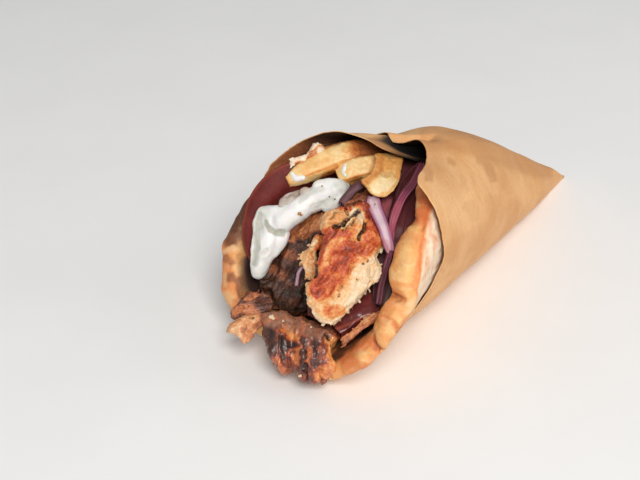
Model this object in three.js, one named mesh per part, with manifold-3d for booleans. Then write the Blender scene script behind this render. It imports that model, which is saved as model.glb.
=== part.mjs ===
// A gyro: a soft pita rolled into a cone round meat, fried potato, onion, tomato and a garlic
// yoghurt sauce, held in a cone of brown paper and lying on its side.
// Millimetres. +X runs from the open mouth to the paper's point, +Z is up, the table is z = 0.
// The whole wrap is one idea: a cone that lies on the table along its lowest line. A place on
// it is given by its slant distance from the point, its angle round the axis (0 underneath,
// 90 on the +Y flank, 180 on top) and its height off the pita's outer face.
import * as THREE from "three";
import { mergeVertices } from "three/addons/utils/BufferGeometryUtils.js";
import { ImprovedNoise } from "three/addons/math/ImprovedNoise.js";
import Module from "manifold-3d";

const wasm = await Module();
wasm.setup();

const HALF_ANGLE = THREE.MathUtils.degToRad(15.5);
const TIP_X = 97; // the point of the cone, before the whole is centred
const WIDTH_SHARE = 0.96; // the cone sags a little, so it is narrower than it is high
const CROWN = 8.5; // behind the mouth the pita laps over itself, so the wrap stands higher there
const SQUASH = 0.075; // the near lower flank is pressed in behind the rim
const PITA_RADIUS = 90; // a pita is a disc 180 mm across
const PITA_CENTRE = 102.2; // slant distance of the disc's centre from the cone's point
const PITA_BACK = 24; // the fold at the closed end
const WALL = 8;
const PAPER = 0.65;
const PAPER_START = 220; // the wrap begins under its own outer layer
const PAPER_END = -165;
const PAPER_BACK = 16;
const ROWS = [44, 66, 86, 102]; // slant distances where pita and paper both bend
const GAP = 0.3; // clearance between pieces that touch
const HIDDEN_GAP = 1.35; // clearance deep in the filling, where the cut is left coarse
const FLOOR_GAP = 1.0; // the pita's underside, over the paper

const smooth = THREE.MathUtils.smoothstep;
const rad = THREE.MathUtils.degToRad;
const mix = THREE.MathUtils.lerp;

const grain = new ImprovedNoise();

function noise(point, size, seed) {
  const p = point.clone().divideScalar(size);
  return grain.noise(p.x + seed, p.y - 0.7 * seed, p.z + 1.3 * seed);
}

// A round hump of height 1 at the angle `at`, `wide` degrees across, on the full circle.
function hump(angle, at, wide) {
  const away = THREE.MathUtils.euclideanModulo(angle - at + 180, 360) - 180;
  const t = Math.min(1, Math.abs(away) / (wide / 2));
  return (1 - t * t) ** 2;
}

function stations(list, x) {
  const last = list.length - 1;
  if (x <= list[0][0]) return list[0][1];
  for (let i = 1; i <= last; i++) {
    if (x <= list[i][0]) {
      const t = (x - list[i - 1][0]) / (list[i][0] - list[i - 1][0]);
      return mix(list[i - 1][1], list[i][1], t);
    }
  }
  return list[last][1];
}

function conePoint(slant, angle, off, floor = FLOOR_GAP - off) {
  const turn = rad(angle);
  const along = slant * Math.cos(HALF_ANGLE) - off * Math.sin(HALF_ANGLE);
  const pressed = SQUASH * hump(angle, -58, 120) * (1 - smooth(slant, 150, 172));
  const radius = (slant * Math.sin(HALF_ANGLE) + off * Math.cos(HALF_ANGLE)) * (1 - pressed);
  const down = radius * Math.cos(turn);
  const crown = CROWN * hump(angle, 150, 230) * smooth(slant, 0, 88) * (1 - smooth(slant, 94, 128));
  const flat = 1 - 0.45 * (1 - smooth(slant, 4, 36));
  const z = along * Math.sin(HALF_ANGLE) - down * Math.cos(HALF_ANGLE) + crown;
  return new THREE.Vector3(
    TIP_X - along * Math.cos(HALF_ANGLE) - down * Math.sin(HALF_ANGLE),
    radius * Math.sin(turn) * WIDTH_SHARE * flat,
    Math.max(z, floor),
  );
}

// The middle of the wrap at a slant distance.
function axisPoint(slant) {
  return conePoint(slant, 0, 0).lerp(conePoint(slant, 180, 0), 0.5).setY(0);
}

// Where the disc's edge comes on the rolled cone, with the dip in front and the pinches that
// the fold makes in the puffed rim.
const PINCHES = [
  { at: -86, wide: 15, deep: 2.6 },
  { at: -60, wide: 17, deep: 3.2 },
  { at: -122, wide: 20, deep: 1.2 },
  { at: 62, wide: 24, deep: 0.8 },
];

function pinch(angle) {
  return PINCHES.reduce((sum, p) => sum + p.deep * hump(angle, p.at, p.wide), 0);
}

function rimSlant(angle) {
  const away = Math.abs(THREE.MathUtils.euclideanModulo(angle + 180, 360) - 180);
  const spread = rad(away) * Math.sin(HALF_ANGLE);
  const disc =
    PITA_CENTRE * Math.cos(spread) +
    Math.sqrt(PITA_RADIUS ** 2 - (PITA_CENTRE * Math.sin(spread)) ** 2);
  return disc - 10 * hump(angle, 12, 70) - 5 * hump(angle, -22, 70) - pinch(angle);
}

function lipThickness(angle) {
  const puffed = 3.8 * hump(angle, -78, 150) - 1.6 * hump(angle, 180, 130);
  return WALL + puffed - 0.8 * pinch(angle);
}

// The pita: a lathe whose every point is moved on to the cone. Its profile goes from the closed
// end along the outer face, round the puffed lip and back along the inner face.
function pitaGeometry(grow) {
  const lip = [0, 32, 68, 105, 142, 180];
  const inner = [0.86, 0.62, 0.3];
  const outer = ROWS.length + 5;
  const count = outer + lip.length + inner.length + 1;
  const profile = Array.from({ length: count }, (_, i) => new THREE.Vector2(1, i));
  const segments = 44;
  const geometry = new THREE.LatheGeometry(profile, segments);
  const position = geometry.attributes.position;
  const solidTo = WALL / Math.tan(HALF_ANGLE) + 3;
  for (let i = 0; i < position.count; i++) {
    const angle = ((Math.floor(i / count) % segments) * 360) / segments;
    const j = i % count;
    const rim = rimSlant(angle);
    const half = lipThickness(angle) / 2;
    const back = rim - 2 * half;
    const last = ROWS[ROWS.length - 1];
    const rows = [0, PITA_BACK + 1, ...ROWS, mix(last, back, 0.5), mix(last, back, 0.82), back];
    const flare = 2.4 * hump(angle, -62, 120) + 0.5 * hump(angle, 20, 180);
    let point;
    if (j === 0) {
      point = axisPoint(PITA_BACK);
    } else if (j < outer) {
      point = conePoint(rows[j], angle, j === 1 ? -1.2 : 0);
    } else if (j < outer + lip.length) {
      const turn = rad(lip[j - outer]);
      const slant = rim - half + half * 0.9 * Math.sin(turn);
      const inwards = half * (1 - Math.cos(turn));
      const out = flare * (0.35 + 0.65 * Math.sin(turn));
      point = conePoint(slant, angle, out - inwards, FLOOR_GAP + inwards);
    } else if (j < count - 1) {
      const slant = mix(solidTo, back, inner[j - outer - lip.length]);
      point = conePoint(slant, angle, -WALL);
    } else {
      point = axisPoint(solidTo);
    }
    position.setXYZ(i, point.x, point.y, point.z);
  }
  return swell(weld(geometry), grow);
}

// The paper's front edge by angle, as slant distance from the point.
const PAPER_FRONT = [
  [-165, 129],
  [-160, 134],
  [-148, 147],
  [-143, 154],
  [-138, 165],
  [-124, 158],
  [-96, 150],
  [-77, 153],
  [-30, 168],
  [0, 174],
  [50, 170],
  [90, 166],
  [114, 164],
  [132, 158],
  [150, 141],
  [168, 125],
  [190, 131],
  [205, 137],
  [220, 140],
];

function paperOffset(angle, slant) {
  const t = (PAPER_START - angle) / (PAPER_START - PAPER_END);
  const free = smooth(slant, rimSlant(angle) + 0.5, rimSlant(angle) + 9); // past the pita
  const dip = 4.5 * smooth(angle, 160, 190) * free;
  const lift = 2.2 * (1 - smooth(angle, -165, -146)) * smooth(slant, 108, 128);
  const middle = 1 - smooth(Math.abs(angle), 150, 160);
  const wrinkle = 0.5 * Math.max(0, Math.sin(rad(angle) * 5)) * smooth(slant, 60, 130) * middle;
  return mix(0.4, 1.5, t) - dip + lift + wrinkle;
}

// The wrap: a thin box bent into a spiral cone, closed at its point by a solid twist of paper.
function paperParts(grow) {
  const across = 38;
  const down = ROWS.length + 5;
  const sheet = new THREE.BoxGeometry(1, 1, 1, across, down, 1);
  const position = sheet.attributes.position;
  for (let i = 0; i < position.count; i++) {
    const angle = mix(PAPER_END, PAPER_START, position.getX(i) + 0.5);
    const row = Math.round((position.getY(i) + 0.5) * down);
    const front = stations(PAPER_FRONT, angle);
    const knee = Math.min(front - 3, rimSlant(angle) + 0.5); // one row follows the pita's rim
    const last = ROWS[ROWS.length - 1];
    const tail = [mix(last, knee, 0.5), mix(last, knee, 0.82), knee, mix(knee, front, 0.5), front];
    const slant = [PAPER_BACK, ...ROWS, ...tail][row];
    const isOuter = position.getZ(i) > 0;
    const off = paperOffset(angle, slant) + (isOuter ? PAPER : 0);
    const p = conePoint(slant, angle, off, isOuter ? 0 : PAPER);
    position.setXYZ(i, p.x, p.y, p.z);
  }
  const twist = new THREE.SphereGeometry(1, 20, 5);
  const twisted = twist.attributes.position;
  for (let i = 0; i < twisted.count; i++) {
    const t = Math.acos(THREE.MathUtils.clamp(twisted.getY(i), -1, 1)) / Math.PI;
    const turn = Math.atan2(twisted.getZ(i), twisted.getX(i));
    const angle = THREE.MathUtils.radToDeg(turn) + 15;
    const slant = mix(0.4, PAPER_BACK + 5, Math.min(1, t * 1.15));
    const reach = t < 0.02 || t > 0.98 ? 0 : 1;
    const close = smooth(angle, 175, 194); // the two ends of the spiral meet here
    const off = mix(paperOffset(angle, slant), paperOffset(PAPER_END, slant), close) + PAPER / 2;
    const rim = conePoint(slant, angle, off, 0.1);
    rim.lerp(axisPoint(slant), 1 - reach);
    twisted.setXYZ(i, rim.x, rim.y, rim.z);
  }
  return [swell(weld(sheet), grow), swell(weld(twist), grow)];
}

// One closed skin whose faces look outwards, also where a bend has mirrored them.
function weld(geometry) {
  geometry.deleteAttribute("normal");
  geometry.deleteAttribute("uv");
  const welded = mergeVertices(geometry, 1e-4);
  const index = welded.index;
  const place = welded.attributes.position;
  const corner = (i) => new THREE.Vector3().fromBufferAttribute(place, index.getX(i));
  let volume = 0;
  for (let i = 0; i < index.count; i += 3) {
    volume += corner(i).dot(corner(i + 1).cross(corner(i + 2))) / 6;
  }
  for (let i = 0; volume < 0 && i < index.count; i += 3) {
    const second = index.getX(i + 1);
    index.setX(i + 1, index.getX(i + 2));
    index.setX(i + 2, second);
  }
  return welded;
}

// Moves every point outwards, to make the room that a neighbour must leave.
function swell(geometry, grow) {
  if (!grow) return geometry;
  geometry.computeVertexNormals();
  const position = geometry.attributes.position;
  const normal = geometry.attributes.normal;
  for (let i = 0; i < position.count; i++) {
    position.setXYZ(
      i,
      position.getX(i) + normal.getX(i) * grow,
      position.getY(i) + normal.getY(i) * grow,
      position.getZ(i) + normal.getZ(i) * grow,
    );
  }
  geometry.deleteAttribute("normal");
  return geometry;
}

function bentPower(value, power) {
  return Math.sign(value) * Math.abs(value) ** power;
}

// One bite of food: a sphere drawn out along a curve, with blunt ends, a section between
// round and square, and a cragged skin. `face` is the way its broad side looks.
function lump(shape, grow, share = 1) {
  const { path, width, thick, face, around, rings } = shape;
  const { blunt = 3, square = 1, crag = 0, cragSize = 6, seed = 1 } = shape;
  const curve = new THREE.CatmullRomCurve3(path.map((p) => new THREE.Vector3(...p)));
  const across = Math.round(around * share);
  const geometry = new THREE.SphereGeometry(1, across, Math.round(rings * Math.sqrt(share)));
  const position = geometry.attributes.position;
  const look = new THREE.Vector3(...face).normalize();
  for (let i = 0; i < position.count; i++) {
    const t = (1 - position.getY(i)) / 2; // the rings gather at the two ends
    const turn = Math.atan2(position.getZ(i), position.getX(i));
    const cross = bentPower(Math.cos(turn), square);
    const rise = bentPower(Math.sin(turn), square);
    const end = Math.sqrt(Math.max(0, 1 - Math.abs(2 * t - 1) ** blunt));
    const tangent = curve.getTangentAt(t);
    const side = new THREE.Vector3().crossVectors(tangent, look).normalize();
    const up = new THREE.Vector3().crossVectors(side, tangent).normalize();
    const wide = typeof width === "function" ? width(t, Math.sign(cross)) : width;
    const deep = typeof thick === "function" ? thick(t) : thick;
    const point = curve.getPointAt(t);
    const out = side.clone().multiplyScalar(cross * (wide / 2) * end);
    out.addScaledVector(up, rise * (deep / 2) * end);
    const bumpy = crag * noise(point.clone().add(out), cragSize, seed) * end * 2;
    const skin = side.multiplyScalar(cross).addScaledVector(up, rise).normalize();
    point.add(out);
    if (end > 0) point.addScaledVector(skin, bumpy);
    position.setXYZ(i, point.x, point.y, point.z);
  }
  return swell(weld(geometry), grow + (share < 1 ? crag * 0.6 : 0));
}

// A slice of tomato laid against the inside of the pita: a flat disc carried on to the cone.
function wallSlice(shape, grow, share = 1) {
  const { slant, angle, radius, thick, off } = shape;
  const half = thick / 2;
  const section = [0, 0.4, 0.75, 0.96, 1, 0.96, 0.75, 0.4, 0];
  const profile = section.map((r, i) => {
    const edge = Math.abs(r - 1) < 0.01 ? 0 : r > 0.95 ? 0.75 : 1;
    return new THREE.Vector2(r * radius, Math.sign(i - 4) * edge * half);
  });
  const geometry = new THREE.LatheGeometry(profile, share < 1 ? 16 : 22);
  const position = geometry.attributes.position;
  for (let i = 0; i < position.count; i++) {
    const height = position.getY(i);
    const out = Math.hypot(position.getX(i), position.getZ(i));
    const turn = Math.atan2(position.getZ(i), position.getX(i));
    const flatX = slant + out * Math.cos(turn);
    const flatY = out * Math.sin(turn);
    const far = Math.hypot(flatX, flatY);
    const spread = THREE.MathUtils.radToDeg(Math.atan2(flatY, flatX)) / Math.sin(HALF_ANGLE);
    const round = angle + spread;
    const lean = 6 * smooth(far, rimSlant(round) + 1, rimSlant(round) + 13); // past the rim
    const p = conePoint(far, round, off + height + lean);
    position.setXYZ(i, p.x, p.y, p.z);
  }
  return swell(weld(geometry), grow + (share < 1 ? 0.6 : 0));
}

// The meat behind everything: the inside of the pita, filled to a rough level at the mouth.
function coreParts() {
  const inside = new THREE.SphereGeometry(1, 18, 7);
  const position = inside.attributes.position;
  for (let i = 0; i < position.count; i++) {
    const t = Math.acos(THREE.MathUtils.clamp(position.getY(i), -1, 1)) / Math.PI;
    const turn = Math.atan2(position.getZ(i), position.getX(i));
    const slant = mix(46, 186, t);
    const reach = t < 0.01 || t > 0.99 ? 0 : 1;
    const p = conePoint(slant, THREE.MathUtils.radToDeg(turn), -WALL - 0.35);
    p.lerp(axisPoint(slant), 1 - reach);
    position.setXYZ(i, p.x, p.y, p.z);
  }
  const level = new THREE.BoxGeometry(190, 90, 160, 9, 6, 1);
  const top = level.attributes.position;
  const pitch = Math.atan2(0.546, 0.838);
  for (let i = 0; i < top.count; i++) {
    if (top.getZ(i) < 0) continue;
    const at = new THREE.Vector3(top.getX(i), top.getY(i), 0);
    top.setZ(i, 80 + 5 * noise(at, 13, 3.3) + 2.5 * noise(at, 6, 8.1));
  }
  level.translate(0, 0, -80 + 5);
  level.rotateY(-pitch);
  level.translate(-49, 0, 30);
  return [weld(inside), weld(level)];
}

function solidOf(geometry) {
  return new wasm.Manifold(
    new wasm.Mesh({
      numProp: 3,
      vertProperties: new Float32Array(geometry.attributes.position.array),
      triVerts: new Uint32Array(geometry.index.array),
    }),
  );
}

function joined(geometries) {
  return geometries.map(solidOf).reduce((all, next) => all.add(next));
}

function largestBody(solid) {
  const bodies = solid.decompose();
  return bodies.reduce((best, body) => (body.volume() > best.volume() ? body : best));
}

function geometryOf(solid) {
  const mesh = solid.getMesh();
  const points = new Float32Array(mesh.numVert * 3);
  for (let i = 0; i < mesh.numVert; i++) {
    const start = i * mesh.numProp;
    points.set(mesh.vertProperties.subarray(start, start + 3), i * 3);
  }
  const geometry = new THREE.BufferGeometry();
  geometry.setAttribute("position", new THREE.BufferAttribute(points, 3));
  geometry.setIndex(new THREE.BufferAttribute(new Uint32Array(mesh.triVerts), 1));
  return geometry;
}

const EYE = [-0.61, -0.58, 0.54]; // towards someone who holds the wrap and looks into its mouth

// What fills the mouth, the uppermost first: each piece makes room for those before it.
const FILLING = [
  {
    name: "fry_long",
    color: 0xe6bf78,
    lumps: [
      {
        path: [
          [-54, 27, 55.5],
          [-41, 20.5, 60.5],
          [-27, 14.5, 62],
          [-11, 9, 58],
        ],
        width: 11,
        thick: 9.5,
        face: [-0.5, -0.3, 0.8],
        blunt: 14,
        square: 0.55,
        crag: 0.5,
        seed: 2.1,
        around: 16,
        rings: 9,
      },
    ],
  },
  {
    name: "fry_right",
    color: 0xe3b873,
    lumps: [
      {
        path: [
          [-17, 1, 60],
          [-25, -1, 62],
          [-34, -4, 62.5],
          [-43, -9, 58],
        ],
        width: (t) => 11 + 5 * Math.sin((Math.PI * Math.max(0, t - 0.3)) / 0.8),
        thick: 5,
        face: [-0.45, -0.5, 0.74],
        blunt: 8,
        square: 0.75,
        crag: 0.35,
        seed: 5.2,
        around: 14,
        rings: 10,
      },
    ],
  },
  {
    name: "fry_short",
    color: 0xe8c27c,
    lumps: [
      {
        path: [
          [-39, 15, 57],
          [-32, 10, 59],
          [-22, 4, 58],
        ],
        width: 9,
        thick: 8.5,
        face: [-0.5, -0.4, 0.77],
        blunt: 10,
        square: 0.6,
        crag: 0.5,
        seed: 7.7,
        around: 14,
        rings: 8,
      },
    ],
  },
  {
    name: "meat_sliver",
    color: 0xb98a6e,
    lumps: [
      {
        path: [
          [-51, 29, 60],
          [-45, 26, 64.5],
          [-37, 23, 67],
        ],
        width: (t) => 4.5 + 2 * Math.sin(9 * t),
        thick: 3.4,
        face: EYE,
        blunt: 4,
        crag: 1.1,
        cragSize: 3,
        seed: 4.4,
        around: 12,
        rings: 10,
      },
    ],
  },
  {
    name: "tzatziki",
    color: 0xe4e8e2,
    lumps: [
      {
        path: [
          [-42, 8, 55.5],
          [-48, 14, 52.5],
          [-56, 20, 47.5],
          [-63, 25, 41],
          [-69, 26, 34],
          [-76, 21, 26],
        ],
        width: (t, side) => 13 + 2.6 * Math.sin(6 + 15 * t) + side * 3 * hump(t, 0.6, 0.6) - 4 * smooth(t, 0.75, 1),
        thick: (t) => 9 + 1.6 * Math.sin(20 * t),
        face: EYE,
        blunt: 5,
        crag: 1.3,
        cragSize: 9,
        seed: 1.5,
        around: 14,
        rings: 17,
      },
      {
        path: [
          [-48, 27, 51],
          [-53, 28, 48],
          [-60, 30, 43],
        ],
        width: 9,
        thick: 7,
        face: EYE,
        blunt: 3,
        crag: 0.5,
        seed: 3.5,
        around: 12,
        rings: 8,
      },
    ],
  },
  {
    name: "meat_large",
    color: 0xc07a4a,
    lumps: [
      {
        path: [
          [-51, 1, 54],
          [-57, -7, 51.5],
          [-65, -12.5, 46.5],
          [-74.5, -15.5, 38],
          [-84, -16, 27],
        ],
        width: (t, side) => (side > 0 ? 19 + 3 * Math.sin(17 * t) : 23 + 3.5 * Math.sin(21 * t + 1)),
        thick: (t) => 9 + 1.5 * Math.sin(8 * t),
        face: EYE,
        blunt: 5,
        square: 0.8,
        crag: 1.7,
        cragSize: 5,
        seed: 9.3,
        around: 20,
        rings: 16,
      },
    ],
  },
  {
    name: "meat_scrap",
    color: 0xb77b4c,
    lumps: [
      {
        path: [
          [-60, 3, 44.5],
          [-66, 4.5, 40],
          [-73, 0, 33],
        ],
        width: (t) => 5.5 + 2 * Math.sin(14 * t),
        thick: 6,
        face: EYE,
        blunt: 4,
        crag: 1.2,
        cragSize: 4,
        seed: 6.1,
        around: 12,
        rings: 10,
      },
    ],
  },
  {
    name: "onion_pale",
    color: 0xcbb0c4,
    lumps: [
      {
        path: [
          [-43, -5, 58],
          [-48, -12.5, 55.5],
          [-53, -19, 52],
          [-55.5, -25, 48.5],
          [-56.5, -27.5, 45],
        ],
        width: (t) => 5 - 2.4 * t,
        thick: 2.4,
        face: EYE,
        blunt: 8,
        square: 0.8,
        around: 10,
        rings: 10,
      },
    ],
  },
  {
    name: "onion_bright",
    color: 0x9b4a74,
    lumps: [
      {
        path: [
          [-16, -10, 64],
          [-33, -17, 60.5],
          [-44, -20, 56.5],
          [-51, -24, 51],
          [-56, -26, 44],
          [-61, -27.5, 37],
          [-66, -29, 31],
        ],
        width: (t) => 3.8 - 1.6 * smooth(t, 0.5, 0.75),
        thick: 2.6,
        face: EYE,
        blunt: 12,
        square: 0.8,
        around: 10,
        rings: 14,
      },
    ],
  },
  {
    name: "onion_middle",
    color: 0x6d3552,
    lumps: [
      {
        path: [
          [-50, 6, 54],
          [-43, 3, 57.5],
          [-34, -1, 58.5],
        ],
        width: 4.6,
        thick: 2.4,
        face: EYE,
        blunt: 8,
        square: 0.8,
        around: 10,
        rings: 9,
      },
    ],
  },
  {
    name: "onion_thread",
    color: 0xc08aa0,
    lumps: [
      {
        path: [
          [-67.5, 5.5, 37.5],
          [-72, 6.2, 34],
          [-76, 4.5, 30.5],
          [-78.5, 2, 27],
        ],
        width: 1.7,
        thick: 1.7,
        face: EYE,
        blunt: 6,
        around: 8,
        rings: 10,
      },
    ],
  },
  {
    name: "flake_low",
    color: 0xcb8a52,
    lumps: [
      {
        path: [
          [-99, 23, 13],
          [-94, 15.5, 15.5],
          [-87, 10, 17],
        ],
        width: (t) => 10.5 - 3.5 * Math.abs(2 * t - 0.9),
        thick: 5.5,
        face: [-0.5, -0.35, 0.79],
        blunt: 3,
        square: 0.85,
        crag: 1.2,
        cragSize: 5,
        seed: 2.9,
        around: 14,
        rings: 10,
      },
    ],
  },
  {
    name: "meat_front",
    color: 0x8e4b29,
    lumps: [
      {
        path: [
          [-79, 6, 17],
          [-87, 2, 15],
          [-93.5, -3, 10],
          [-95.5, -7, 4.6],
        ],
        width: (t) => 16 + 2 * Math.sin(9 * t),
        thick: 12,
        face: EYE,
        blunt: 4,
        crag: 1.8,
        cragSize: 5.5,
        seed: 11.7,
        around: 14,
        rings: 11,
      },
      {
        path: [
          [-76, -9, 18],
          [-83.5, -13, 16],
          [-89.5, -17, 10.5],
          [-91.5, -19.5, 5],
        ],
        width: (t) => 15.5 + 2 * Math.sin(8 * t + 1),
        thick: 12,
        face: EYE,
        blunt: 4,
        crag: 1.8,
        cragSize: 5.5,
        seed: 14.2,
        around: 14,
        rings: 11,
      },
    ],
  },
  {
    name: "flake_high",
    color: 0xb9743f,
    lumps: [
      {
        path: [
          [-90.5, 27, 17],
          [-84, 22, 19.5],
          [-78, 16, 21],
        ],
        width: (t) => 8.5 - 3 * Math.abs(2 * t - 1),
        thick: 6,
        face: EYE,
        blunt: 3,
        crag: 1.1,
        cragSize: 5,
        seed: 8.8,
        around: 14,
        rings: 10,
      },
    ],
  },
  {
    name: "meat_strip",
    color: 0xd2a179,
    lumps: [
      {
        path: [
          [-82, -25.5, 17],
          [-77.5, -24.5, 21],
          [-72, -27, 24],
          [-65, -32, 28.5],
        ],
        width: (t) => 4.6 + 1.2 * Math.sin(13 * t),
        thick: 3.2,
        face: EYE,
        blunt: 5,
        crag: 0.8,
        cragSize: 3,
        seed: 3.1,
        around: 10,
        rings: 14,
      },
    ],
  },
  {
    name: "tomato_front",
    color: 0x8d2a22,
    under: true,
    lumps: [
      {
        path: [
          [-83, -18.5, 19],
          [-70, -9, 27.5],
          [-56, 0, 36],
        ],
        width: (t, side) => (side > 0 ? 40 : 20),
        thick: 5.4,
        face: [-0.45, -0.32, 0.83],
        blunt: 2.2,
        square: 0.8,
        around: 18,
        rings: 11,
      },
    ],
  },
  {
    name: "meat_back",
    color: 0x7d4f33,
    under: true,
    lumps: [
      {
        path: [
          [-38, 3, 53],
          [-47, -5, 51],
          [-56, -13, 46],
        ],
        width: 15,
        thick: 10,
        face: EYE,
        blunt: 3,
        crag: 1.6,
        cragSize: 6,
        seed: 5.9,
        around: 12,
        rings: 9,
      },
    ],
  },
  {
    name: "onion_layer",
    color: 0x5c2840,
    under: true,
    lumps: [
      {
        path: [
          [-14, -9, 60],
          [-30, -14.5, 55],
          [-41, -20, 49],
          [-50, -23.5, 41],
          [-57, -25.5, 34],
          [-63, -27, 27],
        ],
        width: 13,
        thick: 2.6,
        face: [-0.72, -0.42, 0.55],
        blunt: 8,
        square: 0.8,
        around: 12,
        rings: 12,
      },
    ],
  },
  {
    name: "onion_behind",
    color: 0x6a3050,
    under: true,
    lumps: [
      {
        path: [
          [-8, 2, 57],
          [-20, -4, 56.5],
          [-32, -9, 53],
          [-42, -13, 48],
        ],
        width: 15,
        thick: 2.8,
        face: [-0.45, -0.4, 0.8],
        blunt: 6,
        square: 0.8,
        around: 10,
        rings: 9,
      },
    ],
  },
  {
    name: "meat_dark",
    color: 0x55341f,
    under: true,
    lumps: [
      {
        path: [
          [-41, 13, 41],
          [-51, 14, 34],
          [-62, 14, 25],
          [-75, 14, 14],
        ],
        width: (t) => 27 + 3 * Math.sin(9 * t),
        thick: 16,
        face: EYE,
        blunt: 4,
        crag: 2.6,
        cragSize: 7,
        seed: 12.6,
        around: 18,
        rings: 11,
      },
    ],
  },
];

const pita = solidOf(pitaGeometry(0));
const paper = joined(paperParts(0));
const solids = [
  { name: "paper_wrap", color: 0xdcae7a, solid: paper },
  { name: "pita", color: 0xdf9c58, solid: pita },
];
const wall = solidOf(pitaGeometry(GAP)).add(joined(paperParts(GAP)));
let taken = wall; // what the pieces placed so far keep for themselves
let takenDeep = wall; // the same with coarse skins, for the pieces underneath

function settle({ name, color, under = false }, solidAt) {
  const room = under ? takenDeep : taken;
  solids.push({ name, color, solid: largestBody(solidAt(0, 1).subtract(room)) });
  taken = taken.add(solidAt(GAP, 1));
  takenDeep = takenDeep.add(solidAt(HIDDEN_GAP, 0.55));
}

for (const piece of FILLING) {
  settle(piece, (grow, share) => joined(piece.lumps.map((s) => lump(s, grow, share))));
}
const leftSlice = { slant: 135.5, angle: 79, radius: 42, thick: 4.4, off: -WALL - 2.6 };
settle({ name: "tomato_left", color: 0x7b2f2c, under: true }, (grow, share) =>
  solidOf(wallSlice(leftSlice, grow, share)),
);
const [inside, level] = coreParts();
settle({ name: "meat_core", color: 0x5f3b26, under: true }, () =>
  solidOf(inside).intersect(solidOf(level)),
);

// The middle of the whole, on the table, is the origin.
const gyro = new THREE.Group();
const extent = new THREE.Box3();
for (const piece of solids) {
  piece.geometry = geometryOf(piece.solid);
  piece.geometry.computeBoundingBox();
  extent.union(piece.geometry.boundingBox);
}
const middle = extent.getCenter(new THREE.Vector3());
for (const { name, color, geometry } of solids) {
  geometry.translate(-middle.x, -middle.y, -extent.min.z);
  geometry.computeVertexNormals();
  const material = new THREE.MeshStandardMaterial({ color, roughness: 0.7 });
  const mesh = new THREE.Mesh(geometry, material);
  mesh.name = name;
  gyro.add(mesh);
}

export default gyro;
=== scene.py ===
# %% [markdown]
# # A gyro in its paper cone
# A gyro is a soft pita rolled round grilled meat, fries, onion, tomato and garlic yoghurt, and
# tucked into a cone of brown paper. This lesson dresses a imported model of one: the model says
# where every piece is and how large, and Blender gives each piece its own skin. The model comes
# first, as a frame that nothing here may move.

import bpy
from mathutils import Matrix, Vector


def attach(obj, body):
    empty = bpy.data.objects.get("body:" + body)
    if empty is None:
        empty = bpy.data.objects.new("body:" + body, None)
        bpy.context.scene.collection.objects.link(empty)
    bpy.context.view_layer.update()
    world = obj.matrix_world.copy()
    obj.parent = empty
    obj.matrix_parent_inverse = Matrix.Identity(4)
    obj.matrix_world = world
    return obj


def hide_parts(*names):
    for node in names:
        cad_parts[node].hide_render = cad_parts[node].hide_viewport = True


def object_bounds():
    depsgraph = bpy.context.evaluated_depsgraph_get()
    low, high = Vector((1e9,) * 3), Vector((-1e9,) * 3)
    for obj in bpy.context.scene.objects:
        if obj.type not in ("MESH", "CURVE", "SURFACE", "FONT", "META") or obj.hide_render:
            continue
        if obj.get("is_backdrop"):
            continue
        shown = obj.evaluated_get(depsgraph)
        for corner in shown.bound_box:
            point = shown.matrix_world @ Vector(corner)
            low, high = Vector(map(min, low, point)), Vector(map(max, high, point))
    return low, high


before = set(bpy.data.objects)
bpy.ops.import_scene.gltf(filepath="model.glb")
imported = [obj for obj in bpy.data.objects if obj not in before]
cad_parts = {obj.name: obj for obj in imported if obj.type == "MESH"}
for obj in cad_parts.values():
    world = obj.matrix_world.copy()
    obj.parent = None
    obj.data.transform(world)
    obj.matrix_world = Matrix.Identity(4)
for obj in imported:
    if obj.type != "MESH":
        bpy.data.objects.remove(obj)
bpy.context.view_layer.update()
print("nodes:", ", ".join(sorted(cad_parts)))

# %% Tools and units
import math
import random

import bmesh
import bpy
from mathutils import Matrix, Vector, noise
from mathutils.bvhtree import BVHTree

MM = 0.001  # the shapes below are worked out in millimetres, and Blender holds metres
SHIFT = Vector((2.58, -0.08, 0.0))  # the solids were centred after they were laid out
scene = bpy.context.scene


def mix(a, b, t):
    return a + (b - a) * t


def smooth(x, low, high):
    """0 at low, 1 at high and an even slope between them; it may also run backwards."""
    t = min(1.0, max(0.0, (x - low) / (high - low)))
    return t * t * (3 - 2 * t)


def srgb(red, green, blue):
    """A colour as a paint chart gives it, 0 to 255, turned into the linear light of a shader."""
    linear = [c / 12.92 if c <= 0.04045 else ((c + 0.055) / 1.055) ** 2.4
              for c in (red / 255, green / 255, blue / 255)]
    return (*linear, 1.0)


# %% [markdown]
# ## Camera
# The wrap lies on its side and is seen from above its mouth, with a long lens that keeps the
# cone from flaring. The camera is set by where it looks, from which side and how far away, and
# it leans a little, as a camera held by hand does.

# %% Camera
LENS = 85.0
SENSOR = 36.0
FRAME_WIDTH, FRAME_HEIGHT = 640, 480
AZIMUTH = math.radians(-46.2)
ELEVATION = math.radians(32.6)
ROLL = math.radians(-2.8)
LOOK_AT = Vector((-35.0, 30.0, 20.0)) + SHIFT
DISTANCE = 619.0

back = Vector((
    math.sin(AZIMUTH) * math.cos(ELEVATION),
    -math.cos(AZIMUTH) * math.cos(ELEVATION),
    math.sin(ELEVATION),
))
level_right = Vector((math.cos(AZIMUTH), math.sin(AZIMUTH), 0.0))
level_up = back.cross(level_right)
right = level_right * math.cos(ROLL) + level_up * math.sin(ROLL)
up = level_up * math.cos(ROLL) - level_right * math.sin(ROLL)

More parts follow.
